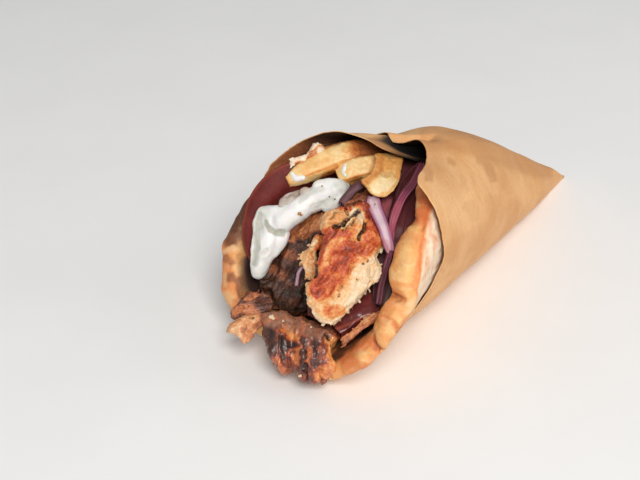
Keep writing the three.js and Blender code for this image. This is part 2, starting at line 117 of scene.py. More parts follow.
camera_data = bpy.data.cameras.new("camera")
camera_data.lens = LENS
camera_data.sensor_width = SENSOR
camera_data.clip_start = 0.01
camera = bpy.data.objects.new("camera", camera_data)
scene.collection.objects.link(camera)
camera_stand = Matrix((right, up, back)).transposed().to_4x4()
camera_stand.translation = (LOOK_AT + back * DISTANCE) * MM
camera.matrix_world = camera_stand
scene.camera = camera
print("camera", [round(v, 3) for v in camera_stand.translation])

# %% [markdown]
# ## Light and floor
# Food looks best in one large soft light from above, with the shadows filled from the room.
# The key light stands high on the viewer's side, so that it reaches into the mouth of the wrap.
# A weak one on the right lifts the paper, and the floor is pale.

# %% Light and floor
scene.view_settings.view_transform = "Standard"
world = bpy.data.worlds.new("room")
world.use_nodes = True
world.node_tree.nodes["Background"].inputs["Color"].default_value = (0.93, 0.96, 1.0, 1.0)
world.node_tree.nodes["Background"].inputs["Strength"].default_value = 0.32
scene.world = world


def soft_light(name, towards, distance, size, watts, colour):
    """A square light that faces the wrap from the side `towards`."""
    data = bpy.data.lights.new(name, "AREA")
    data.size = size
    data.energy = watts
    data.color = colour
    lamp = bpy.data.objects.new(name, data)
    direction = towards.normalized()
    lamp.location = LOOK_AT * MM + direction * distance
    lamp.rotation_euler = direction.to_track_quat("Z", "Y").to_euler()
    scene.collection.objects.link(lamp)
    print(f"{name} light, {watts} W")


level_back = Vector((back.x, back.y, 0.0)).normalized()
soft_light("key", level_right * 0.12 + level_back * 0.70 + Vector((0, 0, 0.70)), 1.8, 0.8, 26.0,
           (1.0, 0.97, 0.92))
soft_light("side", level_right * 0.9 + level_back * 0.2 + Vector((0, 0, 0.45)), 1.2, 0.6, 1.8,
           (1.0, 0.98, 0.95))


def linked(name, bm, materials):
    """A new object in the scene from a finished bmesh, which it uses up."""
    mesh = bpy.data.meshes.new(name)
    bm.to_mesh(mesh)
    bm.free()
    for material in materials:
        mesh.materials.append(material)
    mesh.shade_smooth()
    made = bpy.data.objects.new(name, mesh)
    scene.collection.objects.link(made)
    return made


# %% [markdown]
# ## Shader helpers
# Every finish is a Principled shader with a few pattern nodes in front of it. The helpers below
# add a node or two each and hand back their output, so that a finish reads like a recipe.
# Patterns run on Object coordinates, so their sizes are real sizes in millimetres.

# %% Shader helpers
MIX_A, MIX_B, MIX_RESULT = 6, 7, 2  # the sockets that a mix node uses for colours


class Finish:
    """A material whose even values sit on the shader and whose patterns are added one by one."""

    def __init__(self, name, **even):
        self.material = bpy.data.materials.new(name)
        self.material.use_nodes = True
        self.nodes = self.material.node_tree.nodes
        self.links = self.material.node_tree.links
        self.shader = self.nodes["Principled BSDF"]
        self.place = self.nodes.new("ShaderNodeTexCoord").outputs["Object"]
        self.height = None
        for socket, value in even.items():
            self.shader.inputs[socket.replace("_", " ")].default_value = value

    def feed(self, socket, value):
        if isinstance(value, bpy.types.NodeSocket):
            self.links.new(value, socket)
        else:
            socket.default_value = value

    def painted(self, name):
        """The strength of what was painted on a piece's points under this name."""
        node = self.nodes.new("ShaderNodeAttribute")
        node.attribute_name = name
        return node.outputs["Fac"]

    def sheet_place(self, name):
        """The place on a piece's own flat map, for patterns that follow a sheet or a strip."""
        node = self.nodes.new("ShaderNodeUVMap")
        node.uv_map = name
        return node.outputs["UV"]

    def cloud(self, size, detail=3.0, rough=0.55, stretch=(1, 1, 1), bend=0.0, place=None,
              turn=0.0):
        """Noise whose lumps are about `size` millimetres, stretched along the axes."""
        mapping = self.nodes.new("ShaderNodeMapping")
        mapping.inputs["Scale"].default_value = [1 / (size * MM * s) for s in stretch]
        mapping.inputs["Rotation"].default_value = (0, 0, turn)
        self.feed(mapping.inputs["Vector"], place or self.place)
        node = self.nodes.new("ShaderNodeTexNoise")
        node.inputs["Scale"].default_value = 1.0
        node.inputs["Detail"].default_value = detail
        node.inputs["Roughness"].default_value = rough
        node.inputs["Distortion"].default_value = bend
        self.feed(node.inputs["Vector"], mapping.outputs["Vector"])
        return node.outputs["Fac"]

    def math(self, operation, a, b=0.0, c=0.0):
        node = self.nodes.new("ShaderNodeMath")
        node.operation = operation
        for socket, value in zip(node.inputs, (a, b, c)):
            self.feed(socket, value)
        return node.outputs[0]

    def band(self, value, low, high):
        """0 below `low`, 1 above `high`, smooth in between; turned round if low is above high."""
        node = self.nodes.new("ShaderNodeMapRange")
        node.interpolation_type = "SMOOTHSTEP"
        flip = low > high
        self.feed(node.inputs["Value"], value)
        node.inputs["From Min"].default_value = min(low, high)
        node.inputs["From Max"].default_value = max(low, high)
        node.inputs["To Min"].default_value = 1.0 if flip else 0.0
        node.inputs["To Max"].default_value = 0.0 if flip else 1.0
        return node.outputs["Result"]

    def blend(self, share, a, b):
        node = self.nodes.new("ShaderNodeMix")
        node.data_type = "RGBA"
        self.feed(node.inputs["Factor"], share)
        self.feed(node.inputs[MIX_A], a)
        self.feed(node.inputs[MIX_B], b)
        return node.outputs[MIX_RESULT]

    def layer(self, colour, tint, mask, share=1.0):
        """A tint over a colour where the mask is high, and only as strongly as the share."""
        return self.blend(self.math("MULTIPLY", mask, share), colour, tint)

    def shades(self, value, *stops):
        """A colour ramp: pairs of place and colour."""
        node = self.nodes.new("ShaderNodeValToRGB")
        ramp = node.color_ramp
        while len(ramp.elements) < len(stops):
            ramp.elements.new(0.5)
        for element, (at, colour) in zip(ramp.elements, stops):
            element.position = at
            element.color = colour
        self.feed(node.inputs["Fac"], value)
        return node.outputs["Color"]

    def bump(self, height, depth):
        """Adds relief `depth` millimetres deep on top of the relief so far."""
        node = self.nodes.new("ShaderNodeBump")
        node.inputs["Strength"].default_value = 1.0
        node.inputs["Distance"].default_value = depth * MM
        self.feed(node.inputs["Height"], height)
        if self.height:
            self.feed(node.inputs["Normal"], self.height)
        self.height = node.outputs["Normal"]
        return self

    def done(self, colour, roughness=None):
        self.feed(self.shader.inputs["Base Color"], colour)
        if roughness is not None:
            self.feed(self.shader.inputs["Roughness"], roughness)
        if self.height:
            self.feed(self.shader.inputs["Normal"], self.height)
        return self.material


# %% Floor
FLOOR_HALF = 3.0  # metres, as the next line's height is
FLOOR_TOP = -0.0002

floor_finish = Finish("floor paint", Roughness=0.6)
floor_clouds = floor_finish.band(floor_finish.cloud(60.0), 0.3, 0.7)
floor_paint = floor_finish.done(
    floor_finish.blend(floor_clouds, (0.92, 0.92, 0.92, 1), (0.94, 0.94, 0.94, 1)))
bm = bmesh.new()
bmesh.ops.create_grid(bm, x_segments=2, y_segments=2, size=FLOOR_HALF,
                      matrix=Matrix.Translation((0, 0, FLOOR_TOP)))
floor = linked("floor", bm, [floor_paint])
floor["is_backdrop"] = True
print("floor", 2 * FLOOR_HALF, "m wide")

# %% [markdown]
# ## The wrap's own coordinates
# Pita and paper are both flat sheets rolled into the same cone, so one function places them:
# how far from the point along the cone, how far round (0 degrees underneath, 180 on top) and
# how high off the pita's outer face. The cone lies on the table along its lowest line, stands
# higher behind the mouth where the pita laps over itself, and is pressed in low on the near side.

# %% The wrap's own coordinates
HALF_ANGLE = math.radians(15.5)
TIP_X = 97.0
WIDTH_SHARE = 0.96  # the cone is a little narrower than it is high
CROWN = 8.5  # how far the lap of the pita lifts the top
SQUASH = 0.075  # how much the low near side is pressed in
PITA_RADIUS = 90.0
PITA_CENTRE = 102.2  # where the disc's middle lies along the cone
PITA_BACK = 24.0
WALL = 8.0
FLOOR_GAP = 1.0  # between the pita and the table, for the paper


def hump(angle, at, wide):
    """1 at an angle, falling smoothly to 0 over the width; angles go round at 360."""
    away = (angle - at + 180) % 360 - 180
    t = min(1.0, abs(away) / (wide / 2))
    return (1 - t * t) ** 2


def cone_point(slant, angle, off, floor_height=None):
    """The point so far along the cone, so far round it and so far off the pita's face."""
    turn = math.radians(angle)
    along = slant * math.cos(HALF_ANGLE) - off * math.sin(HALF_ANGLE)
    pressed = SQUASH * hump(angle, -58, 120) * (1 - smooth(slant, 150, 172))
    radius = (slant * math.sin(HALF_ANGLE) + off * math.cos(HALF_ANGLE)) * (1 - pressed)
    down = radius * math.cos(turn)
    crown = CROWN * hump(angle, 150, 230) * smooth(slant, 0, 88) * (1 - smooth(slant, 94, 128))
    flat = 1 - 0.45 * (1 - smooth(slant, 4, 36))
    z = along * math.sin(HALF_ANGLE) - down * math.cos(HALF_ANGLE) + crown
    lowest = FLOOR_GAP - off if floor_height is None else floor_height
    return SHIFT + Vector((
        TIP_X - along * math.cos(HALF_ANGLE) - down * math.sin(HALF_ANGLE),
        radius * math.sin(turn) * WIDTH_SHARE * flat,
        max(z, lowest),
    ))


def axis_point(slant):
    """The middle of the cone, so far along it."""
    middle = cone_point(slant, 0, 0).lerp(cone_point(slant, 180, 0), 0.5)
    middle.y = SHIFT.y
    return middle


# %% The pita's rim
PINCHES = [  # angle, width in degrees and depth
    (-81, 15, 2.2), (-57, 15, 3.0), (-122, 18, 1.6), (62, 24, 0.8),
]
LIP = [  # how thick the lip is at each angle
    (-180, 6.4), (-150, 7.4), (-144, 9), (-119, 8.6), (-112, 13), (-102, 15), (-91, 13.5),
    (-85, 11.5), (-79, 8.2), (-72, 9.6), (-66, 10), (-60, 8.6), (-54, 6.8), (-46, 8),
    (-36, 6.8), (-20, 7.6), (0, 8), (110, 8), (150, 7), (180, 6.4),
]


def between(stations, x):
    """The value at x on the broken line through the stations."""
    if x <= stations[0][0]:
        return stations[0][1]
    for (x0, y0), (x1, y1) in zip(stations, stations[1:]):
        if x <= x1:
            return mix(y0, y1, (x - x0) / (x1 - x0))
    return stations[-1][1]


def eased(stations, x, steps=(-3, -1.5, 0, 1.5, 3)):
    """The same line with its corners rounded off."""
    return sum(between(stations, x + step) for step in steps) / len(steps)


def pinch(angle):
    """How deep the folds in the puffed rim are at this angle, in millimetres."""
    return sum(deep * hump(angle, at, wide) for at, wide, deep in PINCHES)


def rim_slant(angle):
    """Where the round pita's edge comes once it is rolled."""
    away = abs((angle + 180) % 360 - 180)
    spread = math.radians(away) * math.sin(HALF_ANGLE)
    disc = PITA_CENTRE * math.cos(spread) + math.sqrt(
        PITA_RADIUS ** 2 - (PITA_CENTRE * math.sin(spread)) ** 2)
    return (disc - 10 * hump(angle, 12, 70) - 5 * hump(angle, -22, 70) - pinch(angle)
            + 2.5 * hump(angle, 70, 60) - 12 * hump(angle, -168, 56))


def lip_thickness(angle):
    return eased(LIP, (angle + 180) % 360 - 180)


def grain(point, size, seed):
    """Smooth noise between -1 and 1 with lumps of `size` millimetres."""
    return noise.noise(point / size + Vector((seed, -0.7 * seed, 1.3 * seed)))


print(f"rim {rim_slant(0):.0f} mm from the point below, {rim_slant(180):.0f} mm on top")


# %% Handing a piece over
def piece(name, bm, materials, slot, *nodes):
    """Puts a finished shape into the part: it rides on the root and stands for its nodes."""
    bmesh.ops.scale(bm, vec=(MM, MM, MM), verts=bm.verts)
    made = linked(name, bm, materials)
    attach(made, "root")
    if nodes:
        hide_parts(*nodes)
    print(f"{name}: {len(made.data.polygons)} faces")
    return made


# %% [markdown]
# ## Reading places off the picture
# What lies in the mouth of the wrap is known from one side only, so its places are written as
# pixels of a 640 x 480 picture taken by the camera above. A sight line through such a pixel is
# cut with a solid to find the place in space. The other way round, a point gives its pixel, and
# soft brush strokes, written as lines of pixels, paint crust, char and painted shade on a shape.

# %% Places in the picture
EYE = LOOK_AT + back * DISTANCE
PIXELS = FRAME_WIDTH * LENS / SENSOR  # the lens's length in pixels
PIXEL_SIZE = 0.41  # how many millimetres of the wrap one pixel shows
DEPTH_STEPS = 20
WAVER_SIZE = 7  # pixels
FULL_SHARE = 0.4  # the share of a stroke's width that it covers fully
print(f"a ray through each pixel, {DISTANCE / PIXELS:.2f} mm apart at the wrap")


def seen(point):
    """The pixel at which the camera sees a point given in millimetres."""
    away = point - EYE
    scale = PIXELS / -away.dot(back)
    return FRAME_WIDTH / 2 + away.dot(right) * scale, FRAME_HEIGHT / 2 - away.dot(up) * scale


def sight(x, y):
    """The direction in which the camera sees a pixel."""
    return (right * ((x - FRAME_WIDTH / 2) / PIXELS) - up * ((y - FRAME_HEIGHT / 2) / PIXELS)
            - back).normalized()


def copied(*nodes):
    """The solids as the model holds them, merged, in millimetres."""
    bm = bmesh.new()
    for node in nodes:
        bm.from_mesh(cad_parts[node].data)
    bmesh.ops.scale(bm, vec=(1 / MM, 1 / MM, 1 / MM), verts=bm.verts)
    bmesh.ops.remove_doubles(bm, verts=bm.verts, dist=0.01)
    bm.normal_update()
    return bm


def solid(*nodes):
    """The solids ready for sight lines, with the pixel at their middle."""
    bm = copied(*nodes)
    tree = BVHTree.FromBMesh(bm)
    pixels = [seen(vert.co) for vert in bm.verts if vert.normal.dot(back) > 0]
    bm.free()
    return tree, [sum(values) / len(pixels) for values in zip(*pixels)]


def place(target, x, y, inwards=0.0):
    """The point of a solid that a pixel shows, moved in by so much. Beside the solid, its depth
    is taken from where the solid begins on the way to its middle."""
    tree, middle = target
    for step in range(DEPTH_STEPS):
        share = step / DEPTH_STEPS
        hit = tree.ray_cast(EYE, sight(mix(x, middle[0], share), mix(y, middle[1], share)))
        if hit[0] is not None:
            break
    return EYE + sight(x, y) * (hit[3] + inwards)


def brushed(pixel, strokes, waver=0.0, seed=0.0):
    """How strongly soft strokes cover a pixel: each is a width, a strength and a line."""
    x, y = pixel
    if waver:
        u, v = x / WAVER_SIZE, y / WAVER_SIZE
        x, y = (x + waver * noise.noise(Vector((u, v, seed))),
                y + waver * noise.noise(Vector((u, v, seed + 9))))
    cover = 0.0
    for width, strength, line in strokes:
        near = width
        for (x0, y0), (x1, y1) in zip(line, line[1:] or line):
            dx, dy = x1 - x0, y1 - y0
            square = dx * dx + dy * dy
            t = min(1.0, max(0.0, ((x - x0) * dx + (y - y0) * dy) / square)) if square else 0.0
            near = min(near, math.hypot(x - x0 - t * dx, y - y0 - t * dy))
        if near < width:
            cover = max(cover, strength * (1 - smooth(near, FULL_SHARE * width, width)))
    return cover


# %% [markdown]
# ## Paper cone
# The paper is one sheet of brown kraft rolled a little more than once round the pita, with its
# outer edge slanting away from the mouth. It could be a cone with cuts, but a real sheet keeps
# its fibres, creases and stains in one flat pattern. So a grid is rolled up by the function
# above, and its UV map keeps the place that each point had on the flat sheet.

# %% Kraft paper
FIBRE_TURN = math.radians(32.0)  # the way the fibres run on the flat sheet


def kraft(name, tint, deep, roughness, soaked_and_shaded, shade, shaded):
    """Brown paper: clouded, with long fibres and flecks, oil stains mixed with painted shade, and a
    painted shade.
    """
    finish = Finish(name, Roughness=roughness, Specular_IOR_Level=0.35)
    sheet = finish.sheet_place("sheet")
    clouds = finish.cloud(26.0, detail=3, place=sheet)
    streaks = finish.cloud(1.6, detail=4, rough=0.7, stretch=(1, 14, 1), place=sheet,
                           turn=FIBRE_TURN)
    fibres = finish.cloud(0.35, detail=2, rough=0.6, stretch=(1, 12, 1), bend=0.4, place=sheet,
                          turn=FIBRE_TURN)
    flecks = finish.cloud(0.8, detail=3, rough=0.75, place=sheet)
    colour = finish.blend(finish.band(clouds, 0.3, 0.72), tint, deep)
    for pattern, low, high, tone in (
            (streaks, 0.45, 0.75, deep), (fibres, 0.6, 0.76, srgb(150, 100, 62)),
            (flecks, 0.54, 0.68, srgb(246, 206, 158)), (flecks, 0.44, 0.32, deep)):
        colour = finish.layer(colour, tone, finish.band(pattern, low, high), 0.5)
    colour = finish.blend(finish.painted("stain_and_shade"), colour, soaked_and_shaded)
    colour = finish.blend(finish.painted(shade), colour, shaded)
    crinkles = finish.cloud(2.6, detail=4, rough=0.65, stretch=(5, 1, 1), bend=0.6, place=sheet)
    finish.bump(crinkles, 0.3).bump(streaks, 0.1).bump(fibres, 0.08).bump(flecks, 0.06)
    return finish.done(colour)


paper_outside = kraft("kraft paper", srgb(236, 186, 132), srgb(218, 160, 102), 0.62,
                      srgb(182, 118, 64), "hollow_shade", srgb(36, 32, 30))
# The inside is a darker brown, partly oil-soaked and partly painted shade, and it darkens further
# to painted shade near the mouth.
paper_inside = kraft("kraft paper inside", srgb(176, 112, 72), srgb(140, 84, 54), 0.6,
                     srgb(110, 64, 40), "inside_shade", srgb(46, 28, 24))
print("paper finishes", paper_outside.name, "and", paper_inside.name)

# %% Sizes and marks of the paper
PAPER = 0.65  # the solid's thickness; the sheet's outer face stays where the solid's is
SHEET = 0.32
PAPER_START = 220.0  # the angle of the inner edge; the outer one ends on the near side
PAPER_END = -214.0
PAPER_TIP = 0.5
PAPER_FRONT = [  # how far from the point the front edge is, at each angle
    (-214, 128), (-205, 130), (-198, 131), (-192, 132), (-186, 131), (-180, 132), (-174, 134),
    (-168, 136), (-163, 137), (-158, 138), (-150, 144), (-147, 148), (-143, 154), (-138, 165),
    (-124, 158), (-96, 150), (-77, 153), (-30, 168), (0, 174), (50, 170), (90, 166),
    (114, 164), (132, 158), (144, 154), (156, 150), (170, 146), (178, 146), (184, 142),
    (189, 132), (196, 122), (208, 114), (220, 110),
]
OVERLAP = [  # how high the outer layer's front stands off its own cone, where it laps over
    (-214, -1.1), (-205, -2.5), (-198, -3.2), (-192, -3.6), (-186, -3.6), (-182, -3.4),
    (-180, -2.9), (-176, -2.0), (-172, -0.5), (-168, 0.9), (-163, 1.2), (-158, 0.7), (-146, 0),
]
# Oil stains and painted shade: the two near -180 degrees darken the top of the cone, and the one at
# -146 is a fold's shadow by the front edge.
STAINS_AND_SHADE = [  # slant, angle, length along the cone, width round it in degrees, strength
    (92, -181, 32, 10, 0.5), (40, -178, 26, 12, 0.4), (95, -72, 36, 26, 0.2),
    (139, -146, 7, 5, 0.3),
]
# Oil stains on the top, and painted shade: the broad strokes along the top ridge and low on the
# side darken faces turned from the light, the stroke at (424, 164) is a fold's shadow, and the one
# at (372, 141) darkens the flap by the hollow.
OIL_MARKS_AND_SHADE = [  # width, strength and line in pixels, as the camera sees them
    (6, 0.4, [(475, 154), (482, 161)]), (6, 0.45, [(485, 163), (491, 171), (493, 179)]),
    (2.5, 0.5, [(480, 156), (487, 166), (490, 176)]), (3, 0.45, [(449, 160), (454, 164)]),
    (6, 0.55, [(424, 164), (430, 178)]), (9, 0.18, [(470, 206), (475, 216)]),
    (10, 0.2, [(494, 200), (496, 232)]), (7, 0.15, [(505, 172), (508, 190)]),
    (5, 0.25, [(436, 252), (442, 270)]), (3, 0.2, [(462, 176), (466, 190)]),
    (17, 0.42, [(430, 136), (470, 143), (505, 156), (542, 168)]),
    (7, 0.5, [(372, 141), (386, 147), (398, 152)]), (16, 0.2, [(452, 254), (482, 236), (514, 212)]),
]


# %% The paper's form
def paper_offset(angle, slant):
    """How far the sheet stands off the pita: it laps, is lifted by its ridge and hugs below."""
    t = (PAPER_START - angle) / (PAPER_START - PAPER_END)
    free = smooth(slant, rim_slant(angle) + 0.5, rim_slant(angle) + 9)
    dip = 6.0 * smooth(angle, 140, 190) * free
    lift = free * eased(OVERLAP, angle, (-2, 0, 2))
    ridge = 0.9 * max(0.0, 1 - abs(angle + 166) / 15) * smooth(slant, 15, 60)
    middle = 1 - smooth(abs(angle), 150, 160)
    wrinkle = 0.5 * max(0, math.sin(math.radians(angle) * 5)) * smooth(slant, 60, 130) * middle
    front = eased(PAPER_FRONT, angle)
    hug = 1.7 * hump(angle, -45, 130) * smooth(slant, front - 26, front - 3)
    return mix(0.3, 1.8, t) - dip + lift + wrinkle + ridge - hug


def crumple(flat, angle, slant):
    """Creases of the handled sheet: sharp soft-sided folds that all lead to the point."""
    pleats = 0.35 * math.sin(math.radians(angle) * 9 + 1.1) * (1 - smooth(slant, 6, 46))
    folds = 0.0
    for size, deep, seed in ((31.0, 0.6, 3.1), (13.0, 0.4, 8.4), (6.0, 0.16, 5.7)):
        folds += deep * (0.35 - abs(grain(flat, size, seed)))
    under = 1 - 0.75 * smooth(angle, 145, 160) - 0.75 * smooth(angle, -180, -192)
    return pleats * smooth(slant, 0, 8) + folds * under * smooth(slant, 10, 40)


print(f"the front edge lies {eased(PAPER_FRONT, 0):.0f} mm from the point below")

# %% Paper cone
GRID_ROUND, GRID_ALONG = 340, 130
MIDDLE_HEIGHT = 25

bm = bmesh.new()
sheet_uv = bm.loops.layers.uv.new("sheet")
stain_and_shade, hollow_shade, inside_shade = (bm.verts.layers.float.new(name) for name in ("stain_and_shade", "hollow_shade", "inside_shade"))
bmesh.ops.create_grid(bm, x_segments=GRID_ROUND, y_segments=GRID_ALONG, size=0.5,
                      calc_uvs=True)
flat_place = {}
for vert in bm.verts:
    angle = mix(PAPER_END, PAPER_START, vert.co.x + 0.5)
    along = (vert.co.y + 0.5) ** 0.85
    turn = math.radians(angle) * math.sin(HALF_ANGLE)
    fray = (0.35 * grain(Vector((angle / 3, 0, 0)), 1.0, 4.2)
            + 0.2 * grain(Vector((angle, 0, 0)), 1.0, 9.1))
    slant = mix(PAPER_TIP, eased(PAPER_FRONT, angle) + fray, along)
    flat = Vector((slant * math.cos(turn), slant * math.sin(turn), 0))
    flat_place[vert] = flat * MM
    off = paper_offset(angle, slant) + PAPER + crumple(flat, angle, slant)
    off *= 0.3 + 0.7 * smooth(slant, 0, 14)
    vert[stain_and_shade] = min(1.0, sum(
        strong * math.exp(-((slant - s) / long) ** 2 - ((angle - a) / wide) ** 2)
        for s, a, long, wide, strong in STAINS_AND_SHADE))
    # Painted shade: near-black on the inner layer in the hollow under the outer layer at the top.
    deep = max(smooth(angle, 178, 190), smooth(eased(PAPER_FRONT, angle) - slant, 6, 14))
    vert[hollow_shade] = deep * smooth(angle, 160, 166) * smooth(slant, 80, 94)
    # Painted shade on the inside of the sheet near the mouth.
    vert[inside_shade] = (smooth(angle, 124, 142) + 1 - smooth(angle, -150, -136)) * smooth(slant, 90, 120)
    vert.co = cone_point(slant, angle, off, 0.0)
    if angle < -20 or angle > 150:
        # Brushed oil stains and painted shade.
        vert[stain_and_shade] = max(vert[stain_and_shade], brushed(seen(vert.co), OIL_MARKS_AND_SHADE, 3.0, 6.0))
for face in bm.faces:
    for loop in face.loops:
        loop[sheet_uv].uv = flat_place[loop.vert].xy
bm.normal_update()


def looks_out(face):
    """Whether a face of the paper looks away from the cone's middle line."""
    middle = face.calc_center_median()
    return face.normal.dot(middle - Vector((middle.x, 0, MIDDLE_HEIGHT))) > 0


outward = sum(looks_out(face) for face in bm.faces) / len(bm.faces)
if outward < 0.5:
    bmesh.ops.reverse_faces(bm, faces=bm.faces)
print(f"{max(outward, 1 - outward):.0%} of the paper's faces look outwards")
paper = piece("kraft_cone", bm, [paper_outside, paper_inside], "paper_wrap", "paper_wrap")
thickness = paper.modifiers.new("sheet thickness", "SOLIDIFY")
thickness.thickness = SHEET * MM
thickness.offset = -1.0
thickness.material_offset = 1

# %% [markdown]
# ## Pita
# The pita is a disc of bread with a puffed, toasted edge. Rolled up it is a cone with a thick
# lip. A profile spun round an axis gives the faces in even rings, and each ring is then laid on
# the cone. The lip swells on the near side and is pinched where the fold gathers it. How far a
# point is from the lip's crest is painted on, because bread browns by that distance, and the
# inner wall beyond the crest darkens to painted shade.

# %% Bread
bread_finish = Finish("toasted pita", Specular_IOR_Level=0.35, Subsurface_Weight=0.08,
                      Subsurface_Scale=0.002)
crest = bread_finish.painted("crest")
spread = bread_finish.cloud(9.0, detail=4, rough=0.6)
across = bread_finish.math("MULTIPLY_ADD", spread, 5.0, crest)
across = bread_finish.math("MULTIPLY_ADD", across, 1 / 60, 0.5 - 2.5 / 60)
# From the pale outer face through the toasted line and the golden lip to the inner wall, whose dark
# end is painted shade inside the wrap.
bread = bread_finish.shades(
    across,
    (0.18, srgb(238, 214, 188)), (0.422, srgb(242, 214, 184)), (0.44, srgb(238, 182, 126)),
    (0.454, srgb(226, 132, 68)), (0.474, srgb(238, 166, 96)), (0.54, srgb(238, 184, 116)),
    (0.62, srgb(230, 164, 96)), (0.68, srgb(204, 130, 72)), (0.75, srgb(150, 90, 54)),
    (0.84, srgb(96, 56, 38)), (1.0, srgb(52, 30, 24)))
wrinkles = bread_finish.cloud(2.4, detail=3, rough=0.5, stretch=(4, 4, 1), bend=0.3)
mottled = bread_finish.cloud(4.2, detail=4, rough=0.6, bend=0.4)
toast_and_shade = bread_finish.cloud(11.0, detail=5, rough=0.62, bend=0.3)
streaks = bread_finish.cloud(1.5, detail=4, rough=0.7, stretch=(1, 1, 6), bend=0.5)
flour = bread_finish.cloud(0.7, detail=3, rough=0.7)
on_lip = bread_finish.math("MULTIPLY", bread_finish.band(crest, -3, 1),
                           bread_finish.band(crest, 14, 6))
outer_face = bread_finish.band(crest, -4, -7)
for pattern, low, high, region, share, tint in (
        (wrinkles, 0.5, 0.7, on_lip, 0.5, (248, 212, 156)),
        (mottled, 0.54, 0.72, on_lip, 0.55, (208, 128, 66)),
        (mottled, 0.46, 0.3, on_lip, 0.5, (252, 212, 150)),
        (toast_and_shade, 0.52, 0.7, on_lip, 0.7, (206, 122, 62)),
        (streaks, 0.5, 0.66, outer_face, 0.8, (216, 150, 96)),
        (streaks, 0.44, 0.3, outer_face, 1.0, (250, 234, 212))):
    bread = bread_finish.layer(bread, srgb(*tint), bread_finish.band(pattern, low, high),
                               bread_finish.math("MULTIPLY", region, share))
# The toast and char tints colour the bread and also carry painted shade.
for name, tint in (("toast_and_shade", (214, 102, 50)), ("char_and_shade", (112, 60, 38)), ("pale", (232, 188, 138))):
    bread = bread_finish.blend(bread_finish.painted(name), bread, srgb(*tint))
bread = bread_finish.layer(bread, srgb(250, 224, 184), bread_finish.band(flour, 0.5, 0.75), 0.22)
bread = bread_finish.blend(bread_finish.painted("shade"), bread, srgb(50, 29, 23))
bread_finish.bump(streaks, 0.14).bump(wrinkles, 0.25).bump(flour, 0.08)
pita_bread = bread_finish.done(bread, bread_finish.math("MULTIPLY_ADD", flour, 0.2, 0.42))
print("bread finish", pita_bread.name)

# %% The pita's profile
PITA_STEPS = 400
OUTER_ROWS, LIP_ROWS, INNER_ROWS = 64, 30, 44
TOAST_LINE = [  # how far behind the crest the most toasted line lies, at each angle
    (-150, -4.5), (-134, -4.5), (-121, -2.5), (-110, -4.5), (-90, -6), (-72, -7),
    (-54, -8.5), (-30, -9), (20, -4), (40, -3),
]


def pita_place(angle, row):
    """The point of the rolled pita at an angle and a row of the profile, and its crest value,
    measured so that the most toasted line is always at -3."""
    rim = rim_slant(angle)
    half = lip_thickness(angle) / 2
    back_slant = rim - 2 * half
    flare = 2.4 * hump(angle, -62, 120) + 0.5 * hump(angle, 20, 180) + 2.0 * hump(angle, 72, 60)
    line = -3.0 - between(TOAST_LINE, angle)
    solid_to = WALL / math.tan(HALF_ANGLE) + 3
    quarter = half * math.pi / 2
    if row == 0:
        return axis_point(PITA_BACK), -100.0
    if row <= OUTER_ROWS:
        slant = mix(PITA_BACK + 1, back_slant, (row - 1) / (OUTER_ROWS - 1))
        off = -1.2 if row == 1 else 0
        return cone_point(slant, angle, off), slant - back_slant - quarter + line
    if row <= OUTER_ROWS + LIP_ROWS:
        turn = math.pi * (row - OUTER_ROWS) / LIP_ROWS
        slant = rim - half + half * 0.9 * math.sin(turn)
        inwards = half * (1 - math.cos(turn))
        out = flare * (0.35 + 0.65 * math.sin(turn)) * smooth(turn, 0, 0.9)
        point = cone_point(slant, angle, out - inwards, FLOOR_GAP + inwards)
        return point, quarter * (turn / (math.pi / 2) - 1) + line
    share = ((row - OUTER_ROWS - LIP_ROWS) / INNER_ROWS) ** 1.9
    slant = mix(back_slant, solid_to, share)
    if share == 1:
        return axis_point(solid_to), 100.0
    return cone_point(slant, angle, -WALL), quarter + back_slant - slant + line


def spun(bm, profile, steps):
    """Joins the points of a profile to a line and spins it once round Z."""
    edges = [bm.edges.new(pair) for pair in zip(profile, profile[1:])]
    bmesh.ops.spin(bm, geom=profile + edges, axis=(0, 0, 1), cent=(0, 0, 0), angle=math.tau,
                   steps=steps, use_merge=True)


bm = bmesh.new()
crest_layer = bm.verts.layers.float.new("crest")
rows = OUTER_ROWS + LIP_ROWS + INNER_ROWS + 1
spun(bm, [bm.verts.new((1, 0, row)) for row in range(rows)], PITA_STEPS)
for vert in bm.verts:
    angle = math.degrees(math.atan2(vert.co.y, vert.co.x))
    vert.co, vert[crest_layer] = pita_place(angle, round(vert.co.z))
bmesh.ops.remove_doubles(bm, verts=bm.verts, dist=0.001)
bmesh.ops.recalc_face_normals(bm, faces=bm.faces)
bm.normal_update()
print("pita", len(bm.faces), "faces, still smooth")

